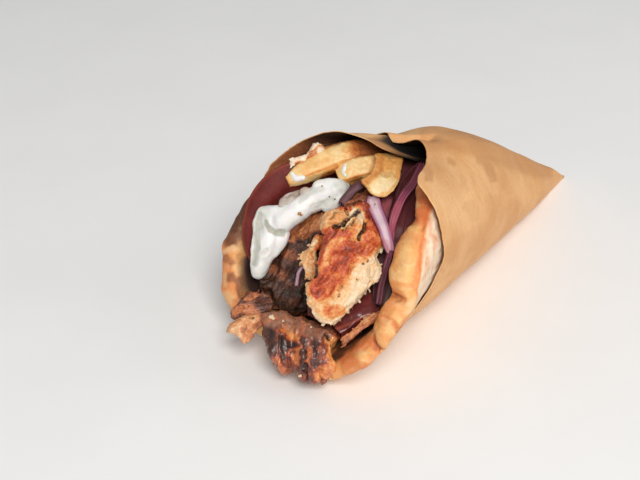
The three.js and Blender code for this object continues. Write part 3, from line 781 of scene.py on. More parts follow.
# %% Toast, folds and painted shade on the pita
# Browning, and painted shade in the folds and along the inner side of the near lip and on the upper
# left of the rim.
TOAST_AND_SHADE = [
    (11, 0.8, [(422, 191), (426, 203), (421, 216)]),
    (3.5, 0.45, [(428, 212), (423, 236), (420, 262), (413, 290)]),
    (7, 0.4, [(398, 292), (404, 304)]), (8, 0.4, [(380, 348), (372, 360)]),
    (10, 0.3, [(352, 372), (340, 374)]), (8, 0.35, [(396, 298), (384, 322)]),
    (2.6, 0.5, [(393, 293), (399, 299)]), (3.5, 0.6, [(384, 317), (393, 321), (397, 330)]),
    (5, 0.8, [(375, 338), (379, 349), (386, 352)]), (7, 0.6, [(372, 342), (356, 346), (344, 354)]),
    (4, 0.35, [(396, 284), (414, 286)]), (6, 0.3, [(402, 232), (418, 238)]),
    (5, 0.3, [(388, 308), (404, 314)]), (10, 0.6, [(346, 358), (362, 368)]),
    (6, 0.35, [(382, 334), (392, 344)]), (2.6, 0.4, [(427, 214), (431, 230), (434, 250)]),
    (2.2, 0.3, [(424, 236), (427, 262), (423, 285)]),
    (8, 0.5, [(225, 249), (226, 263)]),
    (12, 0.55, [(225, 246), (225, 268), (230, 286)]), (8, 0.5, [(239, 300), (232, 312)]),
    (16, 0.55, [(286, 165), (262, 186), (245, 206)]),
]
# Char, and painted shadow on the upper left of the rim and in two folds of the near lip.
CHAR_AND_SHADE = [(14, 0.95, [(283, 168), (258, 190), (243, 209), (234, 222), (231, 238)]),
           (6, 0.7, [(231, 276), (236, 285)]), (8, 0.75, [(242, 258), (246, 278), (241, 297)]),
           (6, 0.55, [(224, 256), (230, 262)]), (3.2, 0.45, [(394, 294), (399, 301)]),
           (3, 0.35, [(376, 340), (379, 348)])]
PALE = [(5, 0.7, [(224, 252), (233, 248)]), (6, 0.6, [(227, 294), (231, 304)]),
        (4, 0.5, [(225, 276), (227, 284)]), (4, 0.5, [(386, 322), (392, 328)]),
        (5, 0.8, [(414, 299), (409, 312)]), (4, 0.35, [(405, 256), (403, 276)])]
SHADED = [(12, 1.0, [(250, 262), (253, 280), (258, 296), (280, 306), (312, 314)]),
          (14, 0.9, [(256, 236), (256, 270)]), (10, 1.0, [(402, 146), (414, 152), (424, 162)]),
          (6, 0.95, [(298, 154), (318, 145), (340, 139), (368, 139), (392, 148)]),
          (13, 0.9, [(249, 272), (254, 290)]), (6, 0.9, [(362, 332), (346, 346), (334, 360)]),
          (10, 0.45, [(247, 206), (234, 226)])]
CREASES = [(3.2, 0.8, [(391, 291), (398, 298), (403, 300)]),
           (2.6, 0.5, [(385, 318), (393, 322), (397, 331)]),
           (3.2, 0.8, [(374, 338), (379, 349), (385, 353)]), (4, 0.35, [(362, 351), (369, 357)]),
           (6, 0.4, [(412, 220), (420, 226)]), (3, 0.25, [(397, 285), (412, 287)]),
           (3, 0.25, [(388, 334), (394, 342)])]
PUFFS = [(13, 0.9, [(405, 250), (399, 282)]), (11, 0.9, [(391, 309), (386, 318)]),
         (9, 0.7, [(385, 330), (381, 338)]), (12, 0.9, [(366, 358), (350, 366)]),
         (9, 0.6, [(416, 214), (412, 228)])]
paints = [(bm.verts.layers.float.new(name), strokes, waver) for name, strokes, waver in (
    ("toast_and_shade", TOAST_AND_SHADE, 4.0), ("char_and_shade", CHAR_AND_SHADE, 5.0), ("pale", PALE, 4.0), ("shade", SHADED, 2.0))]
FACE_WAY = (cone_point(150, -66, 0) - cone_point(80, -66, 0)).normalized()
swells = {}
for vert in bm.verts:
    pixel = seen(vert.co)
    facing = smooth(vert.normal.dot(back), -0.2, 0.3)
    for layer, strokes, waver in paints:
        vert[layer] = facing * brushed(pixel, strokes, waver, 1.0)
    crease = facing * (brushed(pixel, CREASES, 1.0, 3.0) - 0.45 * brushed(pixel, PUFFS, 2.0, 5.0))
    lip = smooth(vert[crest_layer], -18, -6) * (1 - smooth(vert[crest_layer], 10, 18))
    blister = max(0, grain(vert.co, 11.0, 2.3) - 0.12) * 2.2
    dimple = 0.55 * grain(vert.co, 17.0, 6.6) + 0.28 * grain(vert.co, 6.0, 1.9)
    fine = 0.1 * grain(vert.co, 2.2, 5.5)
    long_folds = 0.25 - abs(grain(vert.co - FACE_WAY * vert.co.dot(FACE_WAY) * 0.86, 4.6, 7.7))
    long_folds *= 0.9 * smooth(vert[crest_layer], -4, -9)
    swells[vert] = vert.normal * ((blister + dimple) * lip + fine * (0.4 + lip) + long_folds
                                  - 2.2 * crease)
for vert, swell in swells.items():
    vert.co += swell
    vert.co.z = max(vert.co.z, FLOOR_GAP - 0.5)
piece("rolled_pita", bm, [pita_bread], "pita", "pita")

# %% [markdown]
# ## One skin round many lumps
# Torn meat and thick sauce are made of many small lumps that have grown together. Lumps can be
# joined by Booleans, but a voxel remesh is far sturdier: it casts one even, closed skin round
# everything that overlaps. The skin is then relaxed, or moved by noise.

# %% Lumps to skin
def fused(bm, size, relax=0):
    """One skin of square faces, `size` millimetres wide, round all that overlaps."""
    mesh = bpy.data.meshes.new("loose")
    bm.to_mesh(mesh)
    bm.free()
    loose = bpy.data.objects.new("loose", mesh)
    scene.collection.objects.link(loose)
    remesh = loose.modifiers.new("one skin", "REMESH")
    remesh.mode = "VOXEL"
    remesh.voxel_size = size
    evaluated = loose.evaluated_get(bpy.context.evaluated_depsgraph_get())
    skin = bmesh.new()
    skin.from_mesh(evaluated.to_mesh())
    evaluated.to_mesh_clear()
    bpy.data.objects.remove(loose)
    bpy.data.meshes.remove(mesh)
    for _ in range(relax):
        bmesh.ops.smooth_vert(skin, verts=skin.verts, factor=0.5, use_axis_x=True,
                              use_axis_y=True, use_axis_z=True)
    skin.normal_update()
    return skin


def moved(bm, lift):
    """Moves every point along its normal by lift(point, normal), all at once."""
    moves = [(vert, vert.normal * lift(vert.co, vert.normal)) for vert in bm.verts]
    for vert, move in moves:
        vert.co += move
    bm.normal_update()
    return bm


def painted_on(bm, name, paint):
    """Paints paint(point, normal) on every point under a name that a finish can read."""
    layer = bm.verts.layers.float.new(name)
    for vert in bm.verts:
        vert[layer] = paint(vert.co, vert.normal)
    return bm


def any_way(draw):
    """A random direction."""
    return Vector((draw.gauss(0, 1), draw.gauss(0, 1), draw.gauss(0, 1))).normalized()


# %% [markdown]
# ## Yoghurt sauce
# The sauce is spooned on in a ribbon that slumps into soft folds, with grated cucumber and
# herbs in it. Ropes of overlapping balls, cast into one skin and relaxed, slump in just that
# way. Strokes press the valleys between the folds and paint shade into them. Flecks are small real
# shapes in its surface.

# %% Sauce
sauce_finish = Finish("yoghurt sauce", Specular_IOR_Level=0.4, Subsurface_Weight=0.25,
                      Subsurface_Scale=0.0015)
curds = sauce_finish.cloud(1.3, detail=4, rough=0.6)
watery = sauce_finish.cloud(6.0, detail=3)
white = sauce_finish.blend(sauce_finish.band(watery, 0.52, 0.78), srgb(240, 239, 237),
                           srgb(222, 224, 220))
# Painted shade: olive grey in the valleys between the folds and on the greyed places.
white = sauce_finish.blend(sauce_finish.painted("valley"), white, srgb(150, 148, 124))
white = sauce_finish.blend(sauce_finish.painted("thin"), white, srgb(170, 148, 132))
sauce_finish.bump(curds, 0.12)
yoghurt = sauce_finish.done(white, sauce_finish.math("MULTIPLY_ADD", curds, 0.3, 0.32))
print("sauce finish", yoghurt.name)


# %% Ropes of balls
def strung(bm, tree, lines):
    """Adds balls along lines of pixels: (x, y, radius, how high the face stands up)."""
    for line in lines:
        for a, b in zip(line, line[1:] or line):
            steps = max(1, round(math.hypot(b[0] - a[0], b[1] - a[1]) / 2))
            for i in range(steps + 1):
                x, y, radius, rise = (mix(p, q, i / steps) for p, q in zip(a, b))
                centre = place(tree, x, y, radius - rise)
                bmesh.ops.create_icosphere(bm, subdivisions=2, radius=radius,
                                           matrix=Matrix.Translation(centre))
    return bm


def ropes(tree, lines, voxel, relax):
    """Strings of balls cast into one skin."""
    return fused(strung(bmesh.new(), tree, lines), voxel, relax)


# %% Yoghurt ribbon
sauce_solid = solid("tzatziki")
FOLDS = [
    [(345, 187.5, 2.2, 0.4), (337, 189, 3.6, 0.8), (326, 194, 5.0, 1.2), (315, 199, 5.1, 1.3),
     (304, 206, 4.6, 1.3), (294, 213, 4.8, 1.6), (284, 221, 4.7, 2.4)],
    [(340, 185, 2.4, 0.9), (329, 185, 3.0, 0.6), (320, 187, 3.2, 0.6)],
    [(346, 190, 1.6, 0.4), (341, 197, 2.2, 0.4), (334, 204, 2.4, 0.5), (327, 207, 2.4, 0.4)],
    [(296, 208, 3.0, 0.2), (283, 211, 3.0, 0.2), (273, 212, 2.8, 0.2), (264, 212, 2.6, 0.5)],
    [(262, 211, 2.2, 0.7), (258.5, 221, 2.5, 0.8), (257.5, 235, 2.2, 0.8), (256, 249, 2.2, 0.7),
     (255.5, 264, 2.2, 0.6)],
    [(272, 222, 4.0, -0.2), (272, 230, 4.6, 0.3), (270, 238, 4.8, 0.8), (267, 247, 4.6, 1.1),
     (263, 257, 4.2, 1.2), (259.5, 267, 3.6, 1.1), (258.5, 272, 3.0, 0.8)],
    [(284, 233, 2.6, 0.3), (281, 240, 2.8, 0.3), (273, 252, 2.6, 0.2)],
]
VALLEYS = [
    (4.2, 0.9, [(260, 214), (257.5, 225), (256.5, 238), (256, 250), (254.5, 263)]),
    (4.2, 1.0, [(265.5, 223), (270, 229.5), (276, 233), (283, 233.5)]),
    (3.5, 0.4, [(262, 254), (267, 250)]),
    (4.5, 0.35, [(300, 200), (312, 191), (321, 189)]),
    (4.0, 0.3, [(331, 200), (322, 204), (313, 207)]),
]
# Painted shade, greying the ribbon's upper left, its tail and two of its folds.
GREYED = [(15, 0.35, [(258, 212), (256, 224)]), (12, 0.2, [(260, 262), (260, 274)]),
          (9, 0.3, [(341, 184), (346, 192)]), (8, 0.25, [(337, 200), (326, 208)])]


def sauce_lift(spot, normal):
    valley = brushed(seen(spot), VALLEYS, 1.5, 2.0) * smooth(normal.dot(back), 0.0, 0.5)
    return (0.3 * grain(spot, 7.0, 1.5) + 0.22 * grain(spot, 3.2, 5.5)
            + 0.07 * grain(spot, 1.3, 8.5) - 0.9 * valley)


sauce = moved(ropes(sauce_solid, FOLDS, 0.42, 9), sauce_lift)
painted_on(sauce, "valley", lambda p, n: max(0.72 * brushed(seen(p), VALLEYS, 1.5, 2.0),
                                             brushed(seen(p), GREYED, 3.0, 4.0)))
piece("yoghurt_ribbon", sauce, [yoghurt], "tzatziki", "tzatziki")

# %% Thin film and dabs of sauce
FILM = [[(283, 206, 2.0, 0.3), (286, 199, 2.6, 0.4), (289, 191, 2.2, 0.4)],
        [(288, 204, 2.0, 0.4), (296, 197, 2.6, 0.5), (306, 192, 2.2, 0.5)]]
DABS = {
    "sauce_dab": ("fry_long", 3.3,
                  [(293, 174, 1.3, 0.4), (296, 178, 1.6, 0.6), (303, 178, 1.1, 0.4)]),
    "sauce_smear": ("fry_short", 6.3,
                    [(346, 166, 1.1, 0.4), (344.5, 172, 1.6, 0.6), (347, 178, 1.3, 0.5)]),
}
film = moved(ropes(sauce_solid, FILM, 0.36, 5), lambda p, n: 0.2 * grain(p, 2.2, 4.4))
painted_on(film, "thin", lambda p, n: 0.75)
piece("sauce_film", film, [yoghurt], "tzatziki")
for name, (node, seed, line) in DABS.items():
    dab = moved(ropes(solid(node), [line], 0.28, 3), lambda p, n: 0.2 * grain(p, 1.8, seed))
    piece(name, dab, [yoghurt], "tzatziki")

# %% [markdown]
# ## Laying long pieces along a route
# Fries and onion strips are all something long that bends. Each starts as a plain bmesh shape
# along Z, one unit long, and is laid along a smooth line through a few points. The line carries
# a side and a top with it, so the shape never twists by itself.

# %% Routes
ROUTE_STEPS = 24
TO_EYE = (-0.61, -0.58, 0.54)  # the side that faces the camera, roughly


class Route:
    """A smooth line through points in millimetres, measured as the solids' own paths are."""

    def __init__(self, points, face):
        ends = [Vector(p) + SHIFT for p in points]
        padded = [2 * ends[0] - ends[1], *ends, 2 * ends[-1] - ends[-2]]
        self.line = []
        for a, b, c, d in zip(padded, padded[1:], padded[2:], padded[3:]):
            for step in range(ROUTE_STEPS):
                t = step / ROUTE_STEPS
                self.line.append(0.5 * (2 * b + (c - a) * t + (2 * a - 5 * b + 4 * c - d) * t * t
                                        + (3 * b - a - 3 * c + d) * t ** 3))
        self.line.append(ends[-1])
        self.face = Vector(face).normalized()
        self.reach = [0.0]
        for a, b in zip(self.line, self.line[1:]):
            self.reach.append(self.reach[-1] + (b - a).length)

    @property
    def length(self):
        return self.reach[-1]

    def at(self, t):
        """The point at a share t of the length, with the side and top of the route there."""
        goal = min(max(t, 0.0), 1.0) * self.length
        i = next((i for i in range(1, len(self.reach)) if self.reach[i] >= goal), -1)
        share = (goal - self.reach[i - 1]) / (self.reach[i] - self.reach[i - 1])
        point = self.line[i - 1].lerp(self.line[i], share)
        tangent = (self.line[i] - self.line[i - 1]).normalized()
        side = tangent.cross(self.face).normalized()
        top = side.cross(tangent).normalized()
        return point + tangent * (t - min(max(t, 0.0), 1.0)) * self.length, side, top


# %% [markdown]
# ## Fries
# A fry is a square bar of potato: pale and mealy on its faces, golden along its edges where it
# fried hardest, with small blisters and a wrinkled skin. A cube is cut into a fine grid, pulled
# in towards a round bar by how square it should stay, and laid along its route. How brown it is
# gets painted on. One fry is curled flat like a spoon, so it is cut from an outline instead.

# %% Fried potato
fry_finish = Finish("fried potato", Specular_IOR_Level=0.45, Subsurface_Weight=0.22,
                    Subsurface_Scale=0.0015, Coat_Weight=0.1, Coat_Roughness=0.3)
mealy = fry_finish.cloud(1.6, detail=5, rough=0.68)
patches = fry_finish.cloud(6.0, detail=4, rough=0.6)
frying = fry_finish.math("MULTIPLY_ADD", fry_finish.math("SUBTRACT", mealy, 0.5), 0.55,
                         fry_finish.painted("brown_and_shade"))
frying = fry_finish.math("MULTIPLY_ADD", fry_finish.math("SUBTRACT", patches, 0.5), 0.6, frying)
potato = fry_finish.shades(
    frying, (0.02, srgb(246, 222, 176)), (0.3, srgb(240, 200, 136)), (0.55, srgb(228, 164, 90)),
    (0.8, srgb(198, 118, 60)), (1.0, srgb(150, 84, 44)))
fry_finish.bump(mealy, 0.22).bump(fry_finish.cloud(0.45, detail=2), 0.06)
fried = fry_finish.done(potato, fry_finish.math("MULTIPLY_ADD", mealy, 0.4, 0.2))
print("fry finish", fried.name)

# %% A square fry
CUTS_ALONG, CUTS_ACROSS = 80, 19


def wrinkled(spot, seed):
    """How far the skin of a fry swells or sinks."""
    return (0.5 * grain(spot, 6.0, seed) + 0.3 * (0.25 - abs(grain(spot, 3.0, seed + 3)))
            + 0.16 * grain(spot, 1.2, seed + 6))


def fry(name, node, route, width, thick, squareness, strokes, seed):
    """A bar laid along a route; width and thickness are given along it, from 0 to 1."""
    bm = bmesh.new()
    brown_and_shade = bm.verts.layers.float.new("brown_and_shade")
    bmesh.ops.create_cube(bm, size=2)
    long_edges = [e for e in bm.edges if abs(e.verts[0].co.z - e.verts[1].co.z) > 1]
    bmesh.ops.subdivide_edges(bm, edges=long_edges, cuts=CUTS_ALONG, use_grid_fill=True)
    cross_edges = [e for e in bm.edges if abs(e.verts[0].co.z - e.verts[1].co.z) < 0.001]
    bmesh.ops.subdivide_edges(bm, edges=cross_edges, cuts=CUTS_ACROSS, use_grid_fill=True)
    end_share = width(0.5) / route.length
    for vert in bm.verts:
        u, v, w = vert.co
        near_end = smooth(abs(w), 1 - 1.5 * end_share, 1)
        across = (abs(u) ** squareness + abs(v) ** squareness) ** (1 / squareness)
        pull = max(abs(u), abs(v)) / across if across else 1
        pull *= 1 - 0.36 * near_end ** 3
        edge = smooth(min(abs(u), abs(v)), 0.7, 1.0)
        edge = max(edge, 0.8 * smooth(max(abs(u), abs(v)), 0.85, 1) * smooth(abs(w), 0.93, 1))
        point, side, top = route.at((w + 1) / 2)
        cast = (point + side * (u * pull * width((w + 1) / 2) / 2)
                + top * (v * pull * thick((w + 1) / 2) / 2))
        vert[brown_and_shade] = 0.26 + 0.3 * edge + sum(brushed(seen(cast), [stroke], 4.0, seed)
                                             for stroke in strokes)
        vert.co = cast + (side * u + top * v) * wrinkled(cast, seed)
    bm.normal_update()  # the points have moved, and the next line reads the faces' normals
    bmesh.ops.recalc_face_normals(bm, faces=bm.faces)
    return piece(name, bm, [fried], node, node)


# %% Two square fries
fry("long_fry", "fry_long",
    Route([(-54, 27.6, 57.2), (-42.3, 22.1, 61), (-28.5, 16.2, 62.6), (-14, 10.5, 60)],
          (-0.5, -0.3, 0.8)),
    lambda t: 6.4 + 3.2 * smooth(t, 0, 0.4) - 1.4 * smooth(t, 0.6, 1),
    lambda t: 6.8 + 1.4 * smooth(t, 0, 0.3), 3.2,
    # The wide stroke at the far end is partly browning and partly painted shade where the fry goes
    # under the paper.
    [(50, 0.8, [(388, 144)]),
     (9, 0.55, [(328, 178), (341, 172)]), (12, 0.14, [(306, 168), (330, 164)]),
     (9, -0.3, [(286, 176), (288, 187), (304, 191)])], 2.1)
fry("short_fry", "fry_short",
    Route([(-39, 15, 57), (-32, 10, 59), (-22, 4, 58)], (-0.5, -0.4, 0.77)),
    lambda t: 9.0, lambda t: 8.6, 4.5,
    [(6, 0.3, [(350, 181), (362, 180), (371, 174)]), (14, -0.12, [(352, 168), (360, 168)])], 7.7)

# %% A spoon-shaped fry
SPOON = [(375, 154), (384, 152.5), (394, 154), (404, 157), (402, 165), (400.5, 172), (400, 180),
         (396, 187), (391, 193), (385, 197.5), (378, 197), (371, 193.5), (367, 188), (362, 182.5),
         (361, 180), (366, 177), (371, 173), (374.5, 167), (376, 161)]
SPOON_BROWN = [(14, 0.5, [(378, 154), (376, 166), (366, 176)]),
               (10, 0.45, [(404, 157), (401, 176)]),
               (24, 0.4, [(378, 156), (400, 158)]), (12, 0.25, [(388, 168), (390, 172)]),
               (4.5, 0.35, [(362, 181), (369, 192), (379, 197), (391, 194), (399, 182)])]


def cut_out(node, outline, thick, voxel, relax):
    """A slab with the outline that its pixels draw, lying on the face of a solid."""
    target = solid(node)
    bm = bmesh.new()
    deep = [bm.verts.new(place(target, x, y, thick)) for x, y in outline]
    face = bm.faces.new(deep)
    raised = bmesh.ops.extrude_face_region(bm, geom=[face])
    for vert in raised["geom"]:
        if isinstance(vert, bmesh.types.BMVert):
            vert.co -= sight(*seen(vert.co)) * thick
    bmesh.ops.recalc_face_normals(bm, faces=bm.faces)
    return fused(bm, voxel, relax)


BOWL_EDGE = [(15, 1, [(378, 186), (386, 184)])]
BOWL = [(8, 1, [(389, 160), (386, 172)])]


def spoon_lift(spot, normal):
    hollowed = brushed(seen(spot), BOWL_EDGE) - brushed(seen(spot), BOWL)
    return wrinkled(spot, 5.2) + 0.9 * smooth(normal.dot(back), 0.2, 0.8) * hollowed


spoon = moved(cut_out("fry_right", SPOON, 5.0, 0.36, 7), spoon_lift)
painted_on(spoon, "brown_and_shade", lambda p, n: 0.12 + brushed(seen(p), SPOON_BROWN, 3.0, 5.0))
piece("spoon_fry", spoon, [fried], "fry_right", "fry_right")

# %% [markdown]
# ## Meat
# Gyro meat is carved in slices from a spit: a dark roasted crust on one side, pale torn fibres
# on the other, ragged edges and crumbs of crust. Each slice starts from its solid, gets fibres
# and crumbs grown on where it should look torn, and takes one skin. Noise stretched along the
# fibres raises and furrows it, and strokes cut the deep cracks. One scale of tones runs from
# pale flesh to dark crust, and the place on that scale is painted on.

# %% Roast finish
TONE_STOPS = (0.02, 0.24, 0.44, 0.62, 0.8, 0.98)  # from pale flesh to dark crust


def meat_finish(name, tones, crack_shade, coat=0.1, roughness=0.42):
    """Roasted meat in six tones; painted fat lies in patches, and cracks are dull with painted
    shade.
    """
    finish = Finish(name, Subsurface_Weight=0.12, Subsurface_Scale=0.0012, Coat_Roughness=0.22)
    blotch = finish.cloud(4.5, detail=5, rough=0.66, bend=0.5)
    fine = finish.cloud(0.9, detail=4, rough=0.72)
    tone = finish.math("MULTIPLY_ADD", finish.math("SUBTRACT", blotch, 0.5), 0.75,
                       finish.painted("tone"))
    tone = finish.math("MULTIPLY_ADD", finish.math("SUBTRACT", fine, 0.5), 0.75, tone)
    # Painted shade in the pits and painted light on the ridges: the relief moves the tone darker
    # where it sinks and paler where it rises.
    tone = finish.math("MULTIPLY_ADD", finish.painted("relief"), -0.14, tone)
    colour = finish.shades(tone, *zip(TONE_STOPS, (srgb(*shade) for shade in tones)))
    colour = finish.layer(colour, srgb(152, 112, 88), finish.painted("fat"),
                          finish.band(blotch, 0.3, 0.55))
    cracked = finish.math("MULTIPLY_ADD", finish.math("SUBTRACT", fine, 0.5), 1.3,
                          finish.painted("crack_shade"))
    cracked = finish.band(cracked, 0.34, 1.08)
    colour = finish.blend(cracked, colour, srgb(*crack_shade))
    finish.feed(finish.shader.inputs["Specular IOR Level"],
                finish.math("MULTIPLY_ADD", cracked, -0.46, 0.5))
    finish.feed(finish.shader.inputs["Coat Weight"],
                finish.math("MULTIPLY_ADD", cracked, -coat, coat))
    finish.bump(fine, 0.28)
    return finish.done(colour, finish.math("MULTIPLY_ADD", fine, 0.4, roughness - 0.18))


# The last colour of each roast is the painted shade in its cracks.
roast = meat_finish("roast crust", (
    (241, 217, 183), (237, 193, 141), (225, 148, 80), (208, 96, 48), (168, 64, 34), (96, 40, 26)),
    (56, 30, 22))
# A darker copy of the roast tones, as painted shade, for the meat deep in the wrap.
shaded_roast = meat_finish("shaded roast", (
    (206, 136, 88), (170, 100, 62), (126, 72, 45), (92, 52, 34), (62, 37, 26), (34, 22, 17)),
    (20, 16, 14), coat=0.05, roughness=0.46)
glazed_roast = meat_finish("glazed roast", (
    (240, 172, 104), (214, 124, 68), (170, 82, 48), (128, 62, 42), (86, 44, 32), (44, 26, 21)),
    (26, 18, 16), coat=0.5, roughness=0.28)
tan_roast = meat_finish("tan roast", (
    (246, 226, 204), (236, 192, 148), (220, 150, 96), (192, 114, 70), (142, 80, 52), (84, 46, 32)),
    (40, 26, 20))
print("roast finishes", [made.name for made in (roast, shaded_roast, glazed_roast, tan_roast)])


# %% A slice of meat
def one_piece(bm, least=0.03):
    """Takes away the loose islands that hold less than a share of the points."""
    found, specks = set(), []
    for start in bm.verts:
        if start in found:
            continue
        island, waiting = [], [start]
        found.add(start)
        while waiting:
            vert = waiting.pop()
            island.append(vert)
            for edge in vert.link_edges:
                other = edge.other_vert(vert)
                if other not in found:
                    found.add(other)
                    waiting.append(other)
        if len(island) < least * len(bm.verts):
            specks += island
    bmesh.ops.delete(bm, geom=specks, context="VERTS")
    return bm


def everywhere(spot, normal):
    return 1.0


def meat(name, node, finish, way, seed, tone, shreds=60, size=(1.2, 2.4), crag=1.0,
         torn=everywhere, voxel=0.5, cracks=(), depth=1.2, outwards=0.0, relax=0, start=None,
         raised=(), fat=()):
    """A slice whose fibres run one way: shreds are scattered over it where it is torn, all is
    cast into one skin, and strokes sink its cracks and raise its folds."""
    bm = start or copied(node)
    draw = random.Random(seed)
    way = Vector(way).normalized()
    faces = list(bm.faces)
    weights = [f.calc_area() * torn(f.calc_center_median(), f.normal) for f in faces]
    for face in draw.choices(faces, weights, k=shreds):
        a, b = sorted((draw.random(), draw.random()))
        corners = [v.co for v in face.verts]
        spot = corners[0] * a + corners[1] * (b - a) + corners[2] * (1 - b)
        length = draw.uniform(*size)
        girth = length * draw.uniform(0.28, 0.5)
        lean = (way * (1 - outwards) + face.normal * outwards + any_way(draw) * 0.35)
        turn = lean.to_track_quat("Z", "Y").to_matrix().to_4x4()
        bmesh.ops.create_cone(
            bm, cap_ends=True, cap_tris=True, segments=7, radius1=girth,
            radius2=girth * draw.uniform(0.2, 0.6), depth=2 * length,
            matrix=Matrix.Translation(spot + lean * length * outwards * 0.4) @ turn)
    skin = one_piece(fused(bm, voxel, relax))

    def lift(spot, normal):
        squeezed = spot - way * spot.dot(way) * 0.72
        return crag * (0.7 * grain(spot, 5.2, seed)
                       + 0.9 * (0.22 - abs(grain(squeezed, 3.0, seed + 2)))
                       + 0.36 * grain(squeezed, 1.2, seed + 5)
                       + 0.18 * grain(spot, 0.8, seed + 8))

    painted_on(skin, "relief", lift)
    painted_on(skin, "tone", tone)
    painted_on(skin, "crack_shade", lambda p, n: brushed(seen(p), cracks, 2.0, seed))
    painted_on(skin, "fat", lambda p, n: brushed(seen(p), fat, 4.0, seed))
    moved(skin, lambda p, n: lift(p, n) - depth * brushed(seen(p), cracks, 2.0, seed)
          + max(0, n.dot(back)) * brushed(seen(p), raised, 2.0, seed + 1))
    for vert in skin.verts:
        vert.co.z = max(vert.co.z, 0.3)
    return piece(name, skin, [finish], node, node)


def toned(base, strokes, waver=4.0, seed=1.0):
    """The tone painted by strokes that each pull it from the base towards their own tone."""
    def tone(spot, normal):
        value = base
        for width, strength, goal, line in strokes:
            value = mix(value, goal, brushed(seen(spot), [(width, strength, line)], waver, seed))
        return value
    return tone


# %% Tones and cracks of the big slice
BIG_TONES = [
    (15, 1.0, 0.4, [(341, 209), (334, 219), (327, 232)]),
    (8, 1.0, 0.84, [(356, 201), (364, 205), (371, 215)]),
    (12, 1.0, 0.74, [(331, 238), (341, 236), (351, 240)]),
    (21, 1.0, 0.66, [(346, 250), (337, 269), (322, 288)]),
    (9, 0.8, 0.4, [(333, 244), (345, 244)]),
    (16, 1.0, 0.66, [(370, 230), (372, 241), (361, 249)]),
    (9, 0.8, 0.82, [(350, 244), (344, 258), (338, 268)]),
    (9, 0.8, 0.84, [(324, 282), (315, 292)]),
    (8, 0.9, 0.36, [(354, 222), (358, 231), (356, 238)]),
    (8, 0.6, 0.34, [(338, 298), (346, 288)]), (7, 0.6, 0.46, [(322, 300), (328, 310)]),
    (6, 0.6, 0.3, [(352, 270), (362, 268)]), (9, 0.8, 0.5, [(328, 313), (340, 310)]),
    (6, 0.8, 0.9, [(338, 206), (348, 208)]), (5, 0.7, 0.36, [(306, 284), (311, 302), (324, 318)]),
    (7, 0.95, 0.8, [(326, 234), (322, 250), (317, 264)]), (5, 0.8, 0.66, [(315, 268), (308, 280)]),
]
BIG_CRACKS = [
    (3.4, 1.0, [(358, 211), (350, 217), (344, 223), (335, 227)]),
    (2.4, 0.8, [(355, 220), (347, 227), (341, 230)]), (2.6, 0.8, [(344, 206), (347, 214)]),
    (3.4, 1.0, [(366, 222), (363.5, 230), (359, 238)]), (2.6, 0.7, [(336, 213), (331, 220)]),
    (5.0, 0.55, [(350, 241), (357, 244), (361, 248), (356, 252)]),
    (2.2, 1.0, [(362.5, 263.5)]), (2.2, 0.9, [(357.5, 278.5)]), (2.0, 0.8, [(368, 260.5)]),
    (2.0, 0.8, [(338, 295.5)]), (3.0, 0.5, [(370, 270), (371, 277), (369, 284)]),
    (2.2, 0.6, [(352, 262), (349, 272)]), (2.0, 0.6, [(344, 284), (339, 290)]),
]
BIG_RAISED = [
    (11, 1.2, [(341, 212), (334, 221), (329, 231)]), (8, 0.9, [(354, 224), (357, 236)]),
    (12, 0.8, [(371, 230), (374, 244)]), (14, 0.6, [(343, 262), (330, 280)]),
    (10, 0.5, [(345, 296), (336, 312)]),
]


# %% Big slice and scrap
def slice_torn(spot, normal):
    """The big slice frays along its lower right side and at its upper left corner."""
    x, y = seen(spot)
    rim = smooth(abs(normal.dot(back)), 0.75, 0.3)
    lower_right = smooth((x - 345) + (y - 262) * 0.5, -8, 12)
    upper_left = smooth(y, 240, 215)
    return 0.25 + 1.6 * rim * lower_right + 2.0 * rim * upper_left


def pressed_back(bm, start, end):
    """Presses what lies beyond a line of the picture, on its right hand, back to that line."""
    across, down = end[0] - start[0], end[1] - start[1]
    far = math.hypot(across, down)
    for vert in bm.verts:
        x, y = seen(vert.co)
        beyond = ((y - start[1]) * across - (x - start[0]) * down) / far
        if beyond < 0:
            vert.co += (right * down + up * across) * (beyond * 0.8 * PIXEL_SIZE / far)
    return bm


FLAP = [[(369, 258, 1.8, 0.6), (374, 263, 2.0, 0.9), (377, 270, 1.7, 0.7), (375, 279, 1.4, 0.5)]]
flapped = strung(pressed_back(copied("meat_large"), (373, 284), (338, 320)),
                 solid("meat_large"), FLAP)
meat("big_slice", "meat_large", roast, -up * 0.85 - right * 0.5, 9, toned(0.08, BIG_TONES),
     shreds=230, size=(0.5, 1.3), torn=slice_torn, voxel=0.34, cracks=BIG_CRACKS, outwards=0.55,
     crag=1.1, raised=BIG_RAISED, start=flapped)
SCRAP_TONES = [(8, 0.9, 0.22, [(312, 250), (318, 260)]), (6, 0.8, 0.7, [(320, 234), (319, 247)])]
meat("curled_scrap", "meat_scrap", roast, (-0.4, 0.1, -0.9), 6, toned(0.3, SCRAP_TONES),
     shreds=90, size=(0.6, 1.4), crag=0.9, voxel=0.32, outwards=0.5)

